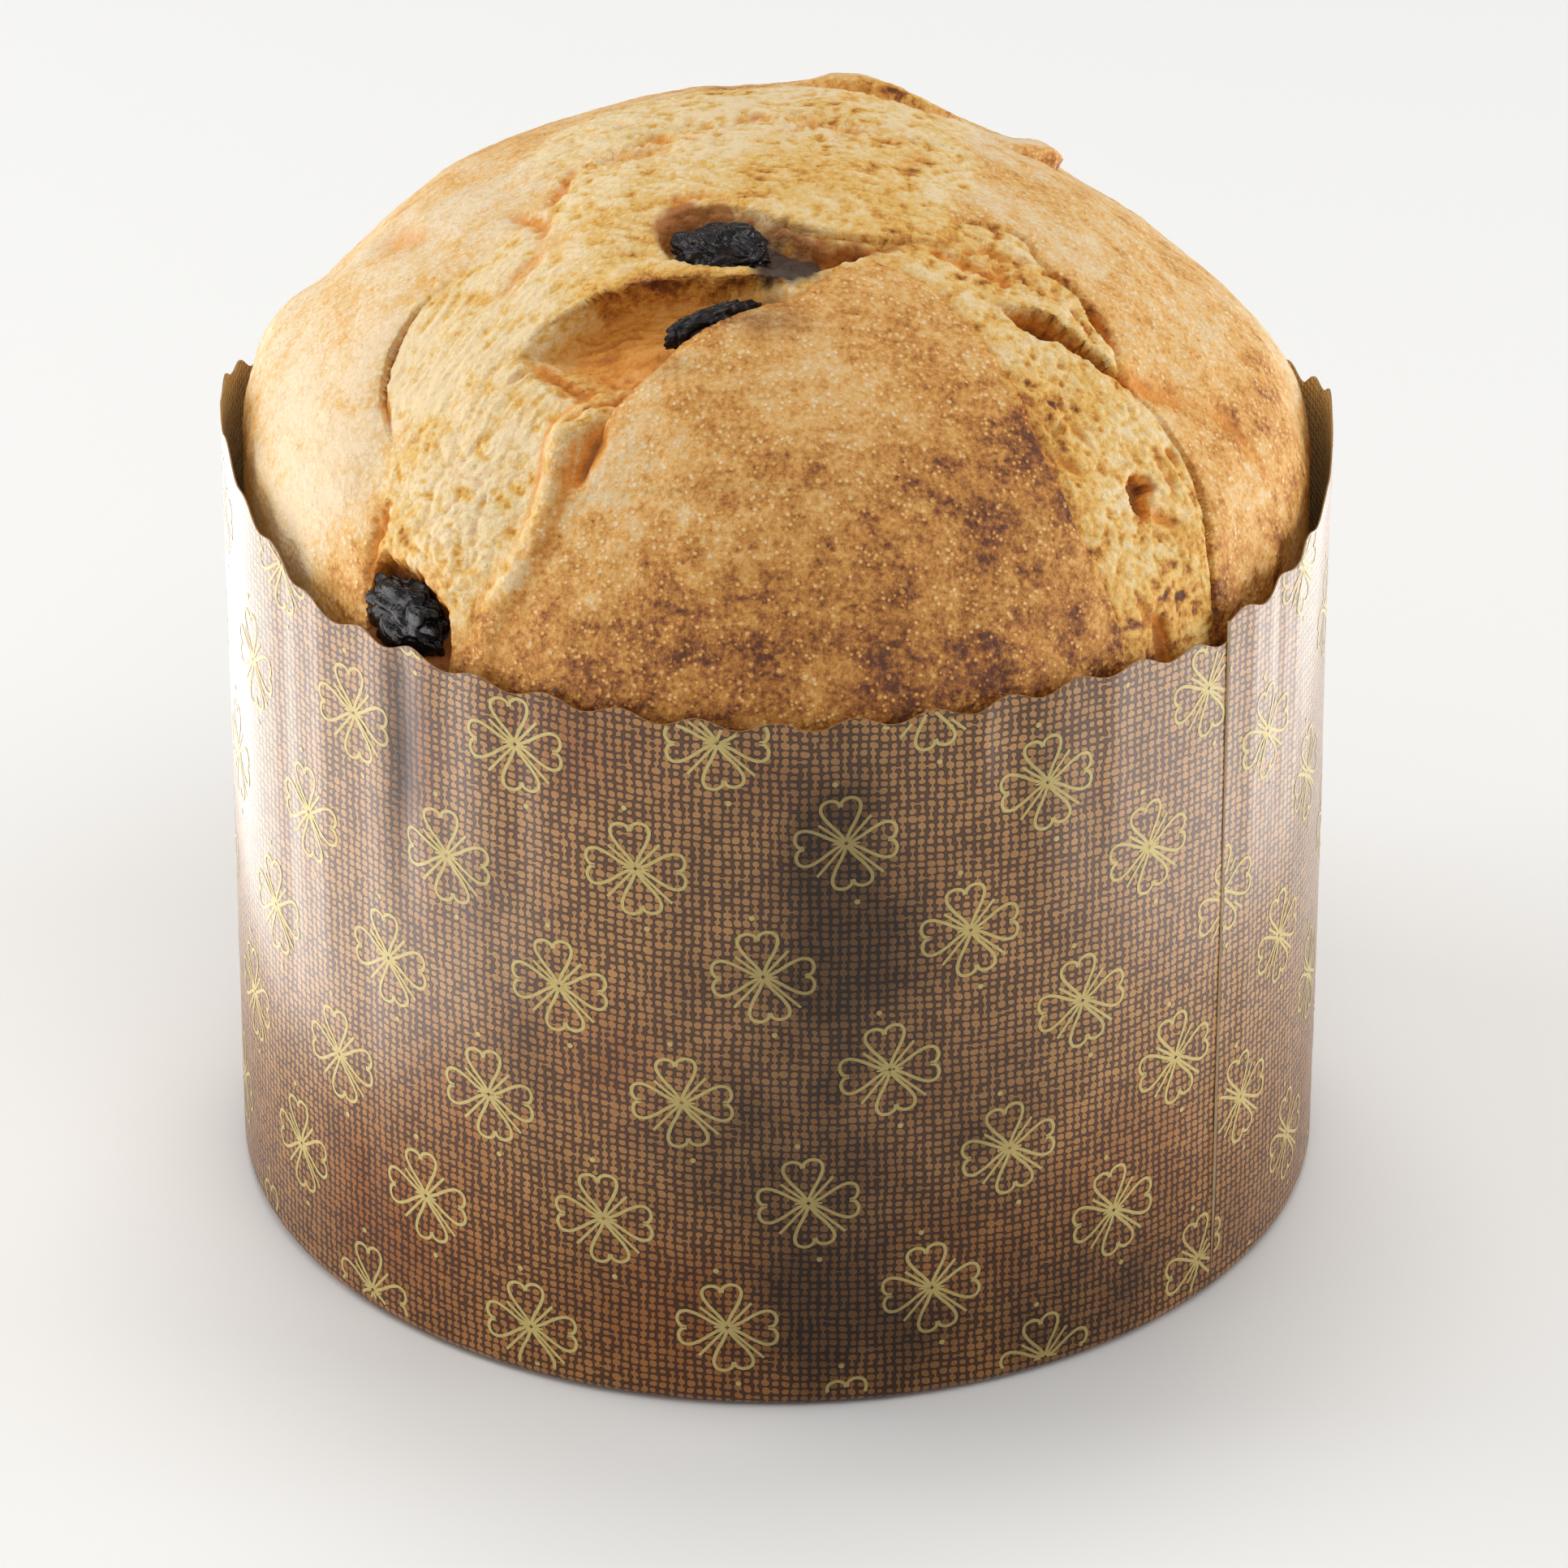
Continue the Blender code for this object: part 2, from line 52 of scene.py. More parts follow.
# Paper case
CASE_RADIUS = 67.0
PAPER = 0.18               # thickness of the wall as it shows at the rim
FOOT_ROUND = 1.6
SCALLOPS = 46
SCALLOP_DEPTH = 1.3
SEAM_AZIMUTH = 52.0
SEAM_STEP = 0.30
SEAM_REACH = 30.0
WALL_COLUMNS = 552
WALL_ROWS = 40
RIM_PATH = (
    (52, 93.4), (60, 92.5), (78, 94.4), (86, 98.4), (92, 100), (98, 98.4), (105, 95.2), (114, 93.6),
    (180, 93), (246, 94), (254, 97), (262, 100.6), (270, 102.4), (280, 102), (289, 98.8), (297, 97.2),
    (305, 94.4), (312, 93.9), (321, 94.6), (327, 94.1), (360, 92.9), (396, 93.6), (412, 90.6),
)

# Soft folds of the paper: arc from the front, half width, push outwards, lowest level, highest level
FOLDS = (
    (24, 1.3, 0.35, 78, 100), (28.5, 2, -0.25, 70, 100), (-48, 1.8, -0.4, 55, 100),
    (-44, 2.2, 0.3, 50, 100), (-37, 2.5, 0.2, 40, 100), (-31, 2, -0.2, 60, 100), (8, 3.5, -0.25, 55, 100),
    (1, 3, 0.15, 60, 100), (42, 2, 0.18, 60, 100), (66, 1.6, 0.25, 10, 100), (73, 1.5, -0.25, 40, 100),
    (79, 1.6, 0.25, 30, 100), (-62, 2, 0.25, 30, 100), (-71, 2, -0.22, 20, 100), (-12, 4, 0.15, 10, 60),
    (16, 5, -0.18, 0, 45), (-55, 2.4, -0.25, 5, 40),
)

# Loaf
DOME_RADIUS = 73.8
DOME_CENTRE = (-1.8, -0.3, 61.5)
SHOULDER = 4.3
SHOULDER_DROP = 8.0
SHOULDER_SHARE = 0.82
SIDE_GAP_FRONT = 0.35
SIDE_GAP_FLANK = 2.0
CAD_PAPER = 0.5
NET = 540                  # cells along one side of the dome's net
NET_PULL = 0.30            # how far the net's middle line lies in front of the crown
SKIRT_SHARE = 0.05         # share of the net below the shoulder, inside the case
SKIRT_DEPTH = 14.0

RAISIN_DETAIL = 6
RAISINS = {
    "raisin_top": dict(centre=(-6.2, -22, 131.3), half=(5.8, 4.5, 3.5), heading=-14,
                       wrinkle=0.55, seed=3, look=("raisin_skin_dull", 0.20, 0.35)),
    "raisin_fold": dict(centre=(-7.2, -32.6, 127.4), half=(7, 1.9, 2.4), heading=35,
                        wrinkle=0.35, seed=5, look=("raisin_skin_grey", 0.32, 0.9)),
    "raisin_edge": dict(centre=(-43, -46.3, 96), half=(6.8, 2.7, 5.2), heading=-47,
                        wrinkle=0.35, seed=8, look=("raisin_skin_glossy", 0.13, 0.0)),
}

# Soft swellings of the dome: x, y, half widths along x and y, height
SWELLINGS = (
    (3, -45, 26, 17, 2.4), (-51, -12, 13, 22, 1.2), (-34, -34, 9, 10, 0.9), (44, -4, 18, 20, 0.7),
    (57, -4, 7, 24, 1.3), (60, 9, 6, 14, 1.2), (-60, 9, 6, 14, 1.4), (9.5, 27, 7.5, 10, 1.6),
    (-9, 28, 3, 6, 0.4), (31, 24, 2.5, 7, 0.6), (36.5, 22, 4.5, 9, -1), (8.5, -7, 6, 4.5, 0.7),
    (-38, 24, 6, 10, 0.7), (-53, 16, 4.5, 9, -1.2), (-37, -46.4, 4, 5, 0.9), (-18, -9, 16, 8, 0.8),
    (-22, -18, 9, 6, 0.9),
)

# Lips: the dough on the left hand of the path stands up over a crease on its right hand. The crease is
# darkened as painted shade, and the band along a lip's edge is browned partly as real browning and partly as
# painted shade under the overhang
LIPS = {
    "front_lobe": dict(path=((41, -51, 0), (35, -46.7, 0.8), (30, -41, 1), (26, -34, 0.9), (19, -27, 0.7),
        (12, -23.6, 0.8), (7.5, -25.6, 1.1), (2.5, -30.6, 1.3), (-2, -32.4, 1.4), (-8.3, -35.6, 1.6),
        (-13, -38.9, 1.6), (-17.5, -41.2, 1), (-20.2, -44, 0.5), (-22.5, -47.5, 0.15), (-25.5, -51, 0)),
        round=1.6, reach=10, lean=1.4, crease=0.5, crease_width=1.4, ragged=0.1, shade_and_browning=0.9),
    "left_lobe": dict(path=((-44.4, -34, 0), (-45.4, -30.6, 0.6), (-46, -26.6, 1), (-45.4, -22.8, 1.1),
        (-43.6, -19.2, 0.9), (-41.4, -17, 0.4), (-37.4, -14.8, 0.15), (-32, -12, 0.1), (-27, -9, 0)),
        round=1.3, reach=9, lean=1, crease=1.1, crease_width=0.6, ragged=0.12, shade_and_browning=0.6),
    "right_crust": dict(path=((17, -13, 0), (24, -11.2, 0.35), (29, -10.8, 0.4), (31, -14, 0.4),
        (35, -17, 0.5), (38.5, -20, 0.6), (40.5, -25, 0.3), (46, -27.6, 0.35), (49.6, -31, 0.6),
        (50.6, -35.5, 0.7), (51.4, -39.5, 0.6), (52, -43, 0)), round=1, reach=5, lean=0.5, crease=1.1,
        crease_width=0.6, ragged=0.18, shade_and_browning=0.8),
    "eyelid": dict(path=((-31, -31.5, 0), (-26.5, -28.8, 0.1), (-21.4, -26.6, 0.3), (-17.6, -26.2, 0.5),
        (-10.4, -26.4, 0.5), (-5, -26.8, 0.5), (-1.6, -26.9, 0.4), (0.8, -27.6, 0.1), (2, -28.2, 0)),
        round=0.8, reach=3.4, lean=2.2, crease=0.8, crease_width=1.5, ragged=0.07, shade_and_browning=2),
    "back_flap": dict(path=((2, 24, 0), (6, 22.4, 0.9), (12, 21.6, 1.3), (17, 21.2, 1.2), (21, 21.8, 0.7),
        (23.5, 23.5, 0)), round=1, reach=6, lean=0.7, crease=1, crease_width=1.2, ragged=0.1, shade_and_browning=1.2),
    "back_knob": dict(path=((27, 15.5, 0), (30, 16.5, 0.8), (33, 18.6, 1.4), (34.2, 21.8, 1.4),
        (33.6, 25.6, 0.8), (31.6, 28.8, 0)), round=1.2, reach=4.5, lean=0.8, crease=0.6, crease_width=1.2,
        ragged=0.15, shade_and_browning=1.6),
    "fissure": dict(path=((24, -25, 0), (28, -24, 0.6), (31.5, -22.8, 0.9), (35.5, -24.2, 0.9),
        (40, -25.4, 0.6), (42.5, -26, 0)), round=0.8, reach=3, lean=1.2, crease=0, crease_width=1,
        ragged=0.35, shade_and_browning=0.1),
    "brow": dict(path=((-13.5, -17.5, 0), (-10, -15.8, 0.5), (-4, -15.8, 0.6), (0.5, -18.2, 0.7),
        (5.5, -19.6, 0.7), (12.5, -19, 0.5), (19, -17.4, 0.3), (22, -18, 0)), round=1.6, reach=5, lean=0.5,
        crease=0.7, crease_width=1.1, ragged=0.18, shade_and_browning=0.6),
}

# Pits: a closed outline, the depth, the width of the slope inside its edge, how brown its floor is painted
# as shade, and the lips that its edge runs under
PITS = {
    "hollow": dict(outline=((-31, -31.8), (-27, -28), (-21.5, -23.6), (-12, -23), (-3, -24.4), (3, -28.6),
        (2.5, -33.6), (-4, -36.8), (-8.5, -39.6), (-13, -42.4), (-18.5, -42), (-23, -39.4), (-27.5, -35.4)),
        depth=4.6, slope=5, shade_and_browning=0.34, under=("front_lobe", "eyelid")),
    "side_hollow": dict(outline=((-19.6, -42), (-22.4, -43.2), (-23.6, -45.4), (-23.8, -47.8), (-22, -48.4),
        (-19.6, -46.8), (-18.2, -44.4)), depth=1.4, slope=2, shade_and_browning=0.8, under=()),
    "fissure": dict(outline=((25.6, -24.4), (30.5, -21.4), (35.8, -22.4), (40.8, -24.4), (39.6, -26.6),
        (35.6, -26.6), (32.6, -26.2), (30.4, -27.2), (28.2, -26.6)), depth=3.6, slope=2, shade_and_browning=0.95,
        under=("fissure",)),
    "raisin_bed": dict(outline=((-14, -19), (-10.5, -16), (-4, -16.2), (0.8, -18.6), (6, -20.4),
        (13, -19.8), (9, -23.4), (4, -26.4), (-2.5, -25.8), (-8, -25.4), (-12.6, -23.4)), depth=2.6,
        slope=1.8, shade_and_browning=0.3, under=()),
    "top_tear": dict(outline=((-20.5, 1), (-17, 6), (-11.5, 5), (-11, 0.5), (-14, -3.2), (-19, -3.4)),
        depth=0.6, slope=2.5, shade_and_browning=0.1, under=()),
    "crust_notch": dict(outline=((35, -17.2), (38, -18.2), (39.8, -21.5), (39.4, -23.6), (37, -21.2)),
        depth=1.7, slope=1.2, shade_and_browning=0.75, under=()),
    "long_slot": dict(outline=((33.6, -19.6), (34.8, -20.2), (36.6, -22.6), (37.2, -24), (35.6, -22.9),
        (34.2, -21.2)), depth=1.6, slope=0.8, shade_and_browning=0.9, under=()),
    "large_pore": dict(outline=((40.4, -37.6), (41.6, -35.4), (44.2, -34.8), (43.6, -37.4), (43.4, -39.4),
        (41.2, -39.4)), depth=1.9, slope=1.1, shade_and_browning=0.75, under=()),
    "pale_pit": dict(outline=((30.8, -36.6), (33.2, -35.6), (33.4, -37.6), (31.6, -39.2)), depth=0.9,
        slope=1, shade_and_browning=0.1, under=()),
    "rim_pit": dict(outline=((43.2, -45.6), (45, -44.6), (46.4, -45.4), (45.6, -47.4), (43.8, -48.2)),
        depth=1.3, slope=1, shade_and_browning=0.7, under=()),
    "rim_dent": dict(outline=((50.4, -40.6), (52, -38.6), (54.4, -37.6), (54.6, -39.6), (52.6, -41.6)),
        depth=1.2, slope=1.6, shade_and_browning=0.7, under=()),
    "edge_bed": dict(outline=((-47.9, -43.4), (-46.4, -41.8), (-43.6, -44.4), (-40.5, -47.7), (-38, -50.8),
        (-38, -53.4), (-41, -53.4), (-46, -49.8), (-48.8, -45.4)), depth=3, slope=0.6, shade_and_browning=0.8, under=()),
}

# Strands of dough that lie on the surface: x, y and height at each point, and the half width
STRANDS = (
    dict(path=((-19.6, -40.2, 0), (-21.6, -41.6, 0.8), (-24.2, -42.4, 1.5), (-25.2, -45, 1.7),
        (-26, -47.9, 1.4), (-27.8, -51, 1.1), (-30.2, -53, 1), (-32.8, -54.4, 0.9), (-34.6, -56, 0.7),
        (-36, -57.6, 0.4)), width=1.4),
    dict(path=((-21.4, -38.4, 0), (-19.6, -38.9, 0.9), (-17.2, -39, 1.1), (-14.6, -38.7, 0.8),
        (-13.2, -38.4, 0)), width=0.45),
)

# Creases: a furrow along a path, x, y and depth at each point, and its half width
CREASES = (
    dict(path=((-29.5, -32, 0), (-27.6, -33.6, 1), (-25.2, -36, 1.6), (-22.6, -38.4, 1.5),
        (-20.4, -39.8, 0)), width=0.8),
    dict(path=((-22, -40.2, 0), (-19.8, -40.4, 1.4), (-17.4, -40.6, 1.3), (-15, -40, 0)), width=0.6),
    dict(path=((-47.4, -42.4, 0.6), (-46, -40.4, 1.3), (-45, -38.4, 0)), width=0.8),
    dict(path=((49.4, -20.6, 0), (52, -19.6, 0.6), (55.6, -19.4, 0.6), (59.4, -20.2, 0)), width=1.6),
    dict(path=((-13.6, -15.6, 0), (-11.6, -13.6, 0.8), (-8.4, -13.2, 0.6), (-4, -14.4, 0)), width=0.9),
    dict(path=((4, -23, 0), (7.6, -22.2, 0.9), (11.6, -20.4, 0.8), (15, -19.2, 0)), width=0.8),
    dict(path=((16, -18.6, 0), (20, -19.4, 0.7), (25, -19.8, 0.8), (30, -18, 0)), width=0.9),
    dict(path=((40.5, -25.4, 0.9), (44, -24.2, 0.8), (48, -21.6, 0.5), (52, -19, 0)), width=1.5),
    dict(path=((-32, -5.4, 0), (-30, -9, 0.8), (-28, -11.5, 0.9), (-27.2, -13.5, 0.7), (-28.5, -17, 0)),
        width=0.9),
    dict(path=((-23.5, 2, 0), (-24.6, -2, 0.7), (-25.8, -6.8, 0.8), (-27, -9, 0)), width=0.8),
    dict(path=((-34, -22.5, 0), (-31, -20.6, 0.6), (-27, -17.2, 0.5), (-20, -17.5, 0)), width=1.3),
    dict(path=((-62.5, 19, 0), (-60.6, 15.6, 1), (-58.8, 17, 1), (-58, 20.5, 0)), width=1),
    dict(path=((-47, 8, 0), (-45.5, 3, 0.6), (-43, -2, 0.5), (-40, -6, 0)), width=2.4),
)

# The torn crumb, seen from above
CRUMB = (
    (-27, -9), (-36, -13.7), (-42, -16.7), (-45.2, -22), (-45.6, -28), (-44.2, -34), (-47, -40), (-46, -43),
    (-39.6, -48.6), (-36.8, -52), (-31, -53.2), (-27.4, -50.2), (-25.4, -45), (-22, -42.6), (-17.5, -41.4),
    (-13, -39), (-8.3, -35.8), (-2, -32.6), (3, -30.4), (8, -25.6), (13, -24), (20, -27.6), (25, -34),
    (29, -41), (33, -45), (38, -49.5), (44, -49), (51.5, -40), (50.4, -34), (48.5, -29.8), (43, -26.6),
    (40, -24.5), (38, -20), (35, -17), (31, -14), (29, -11), (24, -11.2), (20, -12), (22, -6), (24, 2),
    (22, 12), (24, 19), (15, 23), (2, 22), (-12, 21), (-24, 17), (-30, 8), (-26.5, -2),
)

# Small bumps of the whole loaf and of its skin: height, size, seed
BODY_BUMPS = ((0.26, 9, 61), (0.13, 3.4, 62))
SKIN_BUMPS = ((0.06, 1.5, 63), (0.05, 0.8, 64))

# Which way the crumb's strands run: x, y, reach, heading in degrees
GRAIN = (
    (-10, 6, 18, 5), (12, 8, 16, -10), (-22, -14, 9, -25), (-40, -26, 9, 62), (-33, -22, 7, 40),
    (-34, -37, 8, 40), (-38, -46, 6, -35), (-15, -31, 10, 0), (-4, -11, 9, -30), (10, -15, 9, 8),
    (24, -22, 9, -12), (30, -36, 9, -50), (42, -40, 9, -35),
)
HEADINGS = (-50, -25, 0, 25, 50, 75)
FOLD_WIDTH = 0.15          # width of the curly folds' creases, as a share of their size

# Browning of the crust, partly real and partly painted light and shade (paler on the lit left, darker low at
# the front and by the rim): x, y, half widths along x and y, amount
TOAST_PLAIN = 0.42
TOAST_AND_LIGHT = (
    (-54, -12, 16, 32, -0.28), (-34, -30, 11, 13, -0.24), (-32, -45, 9, 7, -0.24), (0, -40, 16, 9, -0.03),
    (-58, -28, 8, 14, -0.3), (28, -44, 7, 9, 0.12), (54, -18, 8, 14, 0.08), (-10, -38.5, 5, 4, 0.14),
    (6, -54, 28, 8, 0.24), (10, -63, 34, 5, 0.16), (33, -46, 5, 8, 0.2), (25, -40, 7, 10, 0.16),
    (41, -37, 7, 9, 0.04), (50, -8, 16, 28, -0.04), (2, 8, 24, 13, -0.12), (-26, 2, 16, 16, -0.2),
    (28, 8, 14, 12, -0.12), (-6, -13.5, 8, 2.6, 0.2), (9, -7.2, 6.5, 4.5, 0.26), (-60.5, 15.5, 3, 4, 0.4),
    (52, -40, 4, 5, 0.2), (45, -46, 4, 4, 0.16), (18, -47, 8, 9, 0.2), (-14, -50, 8, 6, -0.05),
    (24, -50, 5, 6, 0.08), (14, -33, 9, 5, 0.05), (-22, -32, 7, 5, 0.16),
)

# The crumb's holes: how many are tried and between which x and y
PORE_TRIES = 1900
PORE_SPAN_X = (-48.0, 52.0)
PORE_SPAN_Y = (-52.0, 22.0)

# Where the crumb has holes: x, y, half widths along x and y, amount
POROUS = (
    (-16, 1, 7, 5, 1), (2, 7, 18, 7, 0.9), (20, 4, 8, 8, 0.6), (27, -18, 7, 5, 0.9), (33, -31, 6, 5, 0.45),
    (46, -34, 4, 8, 0.7), (38, -42, 5, 5, 0.25), (-34, -40, 8, 8, 0.12), (-20, -36, 5, 3, 0.3),
)

# Where the crumb is torn open like a sponge
SPONGY = (
    (-18.5, 0.5, 5, 3.2, 1.1), (-9, 6, 4, 2.4, 0.7), (5, 6.5, 6.5, 3.6, 1.1), (24, -16.6, 6, 3.2, 0.7),
    (29, -20, 3.5, 2.4, 0.6), (44, -36.5, 3.5, 5, 0.5), (33.5, -33, 2.6, 3.6, 0.5), (-34, -12, 3, 3, 0.4),
)

# Where the crumb is drawn out in long fibres, and where it lies in curly folds
FIBROUS = (
    (-20, -20, 14, 8, 0.9), (-40, -24, 7, 12, 0.7), (-13, -30, 13, 6, 1), (0, -9, 16, 6, 0.8),
    (-30, -38, 8, 6, 0.5), (20, -16, 8, 5, 0.5), (32, -40, 6, 8, 0.35),
)
CURLY = (
    (-37, -46, 8, 7, 1.2), (-36, -30, 8, 10, 0.4), (-26, -11, 8, 7, 0.5), (-26, 6, 8, 8, 0.5),
    (0, 4, 20, 9, 0.55), (24, -20, 6, 5, 0.5), (40, -38, 7, 8, 0.25),
)

# The brown film of dough round the raisin on the crown, the raisin's skin that is smeared over the dough
# beside it, and where raisins show darkly through the front lobe's skin
FILM = (
    (-14.4, -16.4), (-12, -14), (-7, -15), (-1, -17.4), (6, -20.2), (14, -19.6), (13.4, -21), (8, -22.8),
    (4, -22.4), (-1, -19), (-6, -17.2), (-10.6, -17.8), (-12.2, -20.6), (-13.2, -21.8), (-14.6, -18.6),
)
RAISIN_SKIN = (
    (-3.6, -21), (-1, -19.2), (2.8, -20.8), (5.6, -22.4), (6.2, -24.4), (4.8, -26.8), (2.4, -28),
    (-0.8, -27.6), (-3.2, -26),
)
RAISIN_SHADOWS = ((-1.5, -34.6, 5, 1.8, 1), (-12, -39.4, 3.5, 1.4, 0.6))

# Fat in the paper, the patches low on the wall partly painted shade: arc from the front, level, half widths
# along and up the wall, amount
DARK_STAINS_AND_SHADE = (
    (6.5, 78, 5, 12, 0.75), (8.5, 62, 7, 12, 0.85), (3, 32, 12, 16, 0.5), (8, 12, 10, 12, 0.7),
    (-48, 82, 2.6, 18, 0.75), (-36, 66, 5, 9, 0.2), (5, 58, 18, 40, 0.42), (36, 14, 18, 14, 0.28),
    (32, 50, 12, 30, 0.2), (24, 36, 8, 12, 0.35), (-30, 44, 5, 14, 0.3), (40, 6, 26, 8, 0.35),
    (-12, 34, 8, 8, 0.25), (32, 84, 3, 10, 0.35), (-22, 20, 6, 10, 0.2),
)
WARM_STAINS_AND_SHADE = (
    (-46.5, 84, 4, 16, 0.8), (-52, 16, 14, 12, 0.85), (-20, 46, 9, 9, 0.65), (-24, 88, 9, 6, 0.7),
    (-12, 14, 14, 12, 0.6), (14, 42, 10, 8, 0.4), (22, 20, 9, 8, 0.45), (46, 24, 14, 12, 0.5),
    (-40, 36, 9, 10, 0.4), (-2, 86, 8, 6, 0.3),
)
THREAD = 1.14              # spacing of the woven pattern's beads

# Four-leaf ornament: half of one leaf's outline, along and across the leaf
LEAF_HALF = (
    (0.3, 0), (1.7, 0.75), (3.2, 1.75), (4.6, 2.35), (5.6, 2.1), (5.95, 1.15), (5.6, 0.3), (4.9, 0.05),
)
LEAF_HEADINGS = (2, 98, 184, 279)
STROKES = ((51, 4.6), (141, 4.2), (231, 5.4), (317, 6))       # heading and length, between the leaves
BARS = (-1.6, 1.6)
LINE_WIDTH = 0.42
DOT_HEADING = 99.5
DOT_DISTANCE = 8.0
DOT_RADIUS = 0.36
LATTICE_A = (24.6, 4.1)
LATTICE_B = (5.3, -31.0)
LATTICE_START = (-1.6, 59.8)
LATTICE_DRIFT = (5.8, 9.7)       # how far the pattern has crept by the time it reaches the overlap
INK_LIFT = 0.04

# Light and camera, in metres: place, aim, size along and across, power, colour
WHITE = (1.0, 1.0, 1.0)
CREAM = (1.0, 0.99, 0.97)
LIGHTS = {
    "key": ((-0.90, 0.20, 0.72), (0.0, 0.0, 0.08), (0.55, 0.55), 3.4, CREAM),
    "left_wall": ((-0.90, -0.22, 0.14), (0.0, 0.0, 0.06), (0.8, 0.24), 3.0, WHITE),
    "right_wall": ((0.85, -0.05, 0.18), (0.0, 0.0, 0.06), (0.5, 0.32), 3.1, WHITE),
    "front": ((0.3, -0.9, 1.6), (0.0, 0.0, 0.12), (0.9, 0.9), 6.6, CREAM),
    "above": ((0.0, 0.6, 1.8), (0.0, 0.0, 0.12), (0.8, 0.8), 10.5, CREAM),
    "left_table": ((-0.35, 0.16, 0.003), (-0.35, 0.16, 1.0), (0.50, 0.58), 2.0, WHITE),
    "right_table": ((0.36, 0.16, 0.003), (0.36, 0.16, 1.0), (0.46, 0.56), 1.6, WHITE),
}
WORLD_STRENGTH = 0.40
CAMERA_PLACE = (0.000815, -0.9658, 0.5915)
CAMERA_TARGET = (0.000815, 0.0, 0.047884)
CAMERA_LENS = 206.08


def clamp(value):
    return np.clip(value, 0.0, 1.0)


def smooth_step(low, high, value):
    """0 below low, 1 above high, and a smooth rise between them."""
    share = clamp((value - low) / (high - low))
    return share * share * (3.0 - 2.0 * share)


def spline(points, closed=False, steps=4):
    """A smooth curve through the points, with every column of theirs interpolated."""
    knots = np.array(points, float)
    if closed:
        knots = np.vstack([knots[-1:], knots, knots[:2]])
    else:
        knots = np.vstack([2 * knots[0] - knots[1], knots, 2 * knots[-1] - knots[-2]])
    share = np.linspace(0.0, 1.0, steps, endpoint=False)[:, None]
    runs = []
    for a, b, c, d in zip(knots[:-3], knots[1:-2], knots[2:-1], knots[3:]):
        runs.append(0.5 * (2 * b + (c - a) * share + (2 * a - 5 * b + 4 * c - d) * share ** 2
                           + (3 * b - a - 3 * c + d) * share ** 3))
    if not closed:
        runs.append(knots[-2:-1])
    return np.vstack(runs)


def near_path(x, y, path, closed=False):
    """For each point: distance to the path, + on its left hand, the path's third column there,
    and the direction away from the path."""
    ends = np.vstack([path, path[:1]]) if closed else path
    best = np.full(x.shape, np.inf)
    side = np.ones(x.shape)
    value, away_x, away_y = np.zeros((3, *x.shape))
    for a, b in zip(ends[:-1], ends[1:]):
        run = b[:2] - a[:2]
        share = clamp(((x - a[0]) * run[0] + (y - a[1]) * run[1]) / (run @ run))
        off_x = x - (a[0] + share * run[0])
        off_y = y - (a[1] + share * run[1])
        distance = np.hypot(off_x, off_y)
        nearer = distance < best
        best = np.where(nearer, distance, best)
        side = np.where(nearer, np.where(run[0] * off_y - run[1] * off_x >= 0, 1.0, -1.0), side)
        if path.shape[1] > 2:
            value = np.where(nearer, a[2] + share * (b[2] - a[2]), value)
        away_x = np.where(nearer, off_x, away_x)
        away_y = np.where(nearer, off_y, away_y)
    length = np.maximum(best, 1e-6)
    return best * side, value, away_x / length, away_y / length


def signed_inside(x, y, outline):
    """Distance to a closed outline, + inside it and - outside it."""
    path = spline(outline, closed=True)
    distance = np.abs(near_path(x, y, path, closed=True)[0])
    crossings = np.zeros(x.shape, int)
    for a, b in zip(path, np.roll(path, -1, axis=0)):
        if a[1] == b[1]:
            continue
        spans = (a[1] > y) != (b[1] > y)
        crossings += spans & (x < a[0] + (y - a[1]) * (b[0] - a[0]) / (b[1] - a[1]))
    return np.where(crossings % 2 == 1, distance, -distance)


def patches(x, y, spots):
    """Sum of soft round patches: x, y, half widths along x and y, amount."""
    total = x * 0.0
    for cx, cy, wide, deep, amount in spots:
        total = total + amount * np.exp(-((x - cx) / wide) ** 2 - ((y - cy) / deep) ** 2)
    return total


def turned(x, y, angle):
    """Places along and across a direction, its angle in radians."""
    return x * np.cos(angle) + y * np.sin(angle), -x * np.sin(angle) + y * np.cos(angle)


def hashed(cell, seed):
    """A random number from 0 to 1 for each integer cell."""
    low_bits = np.uint64(0xFFFFFFFF)
    mixed = np.full(cell[0].shape, seed * 2654435761 % 2 ** 32, np.uint64)
    for part, prime in zip(cell, (73856093, 19349663, 83492791)):
        mixed = mixed ^ ((part.astype(np.int64).astype(np.uint64) * np.uint64(prime)) & low_bits)
        mixed = (mixed * np.uint64(2246822519) + np.uint64(3266489917)) & low_bits
        mixed ^= mixed >> np.uint64(15)
    return (mixed & np.uint64(0xFFFFFF)).astype(float) / 0xFFFFFF


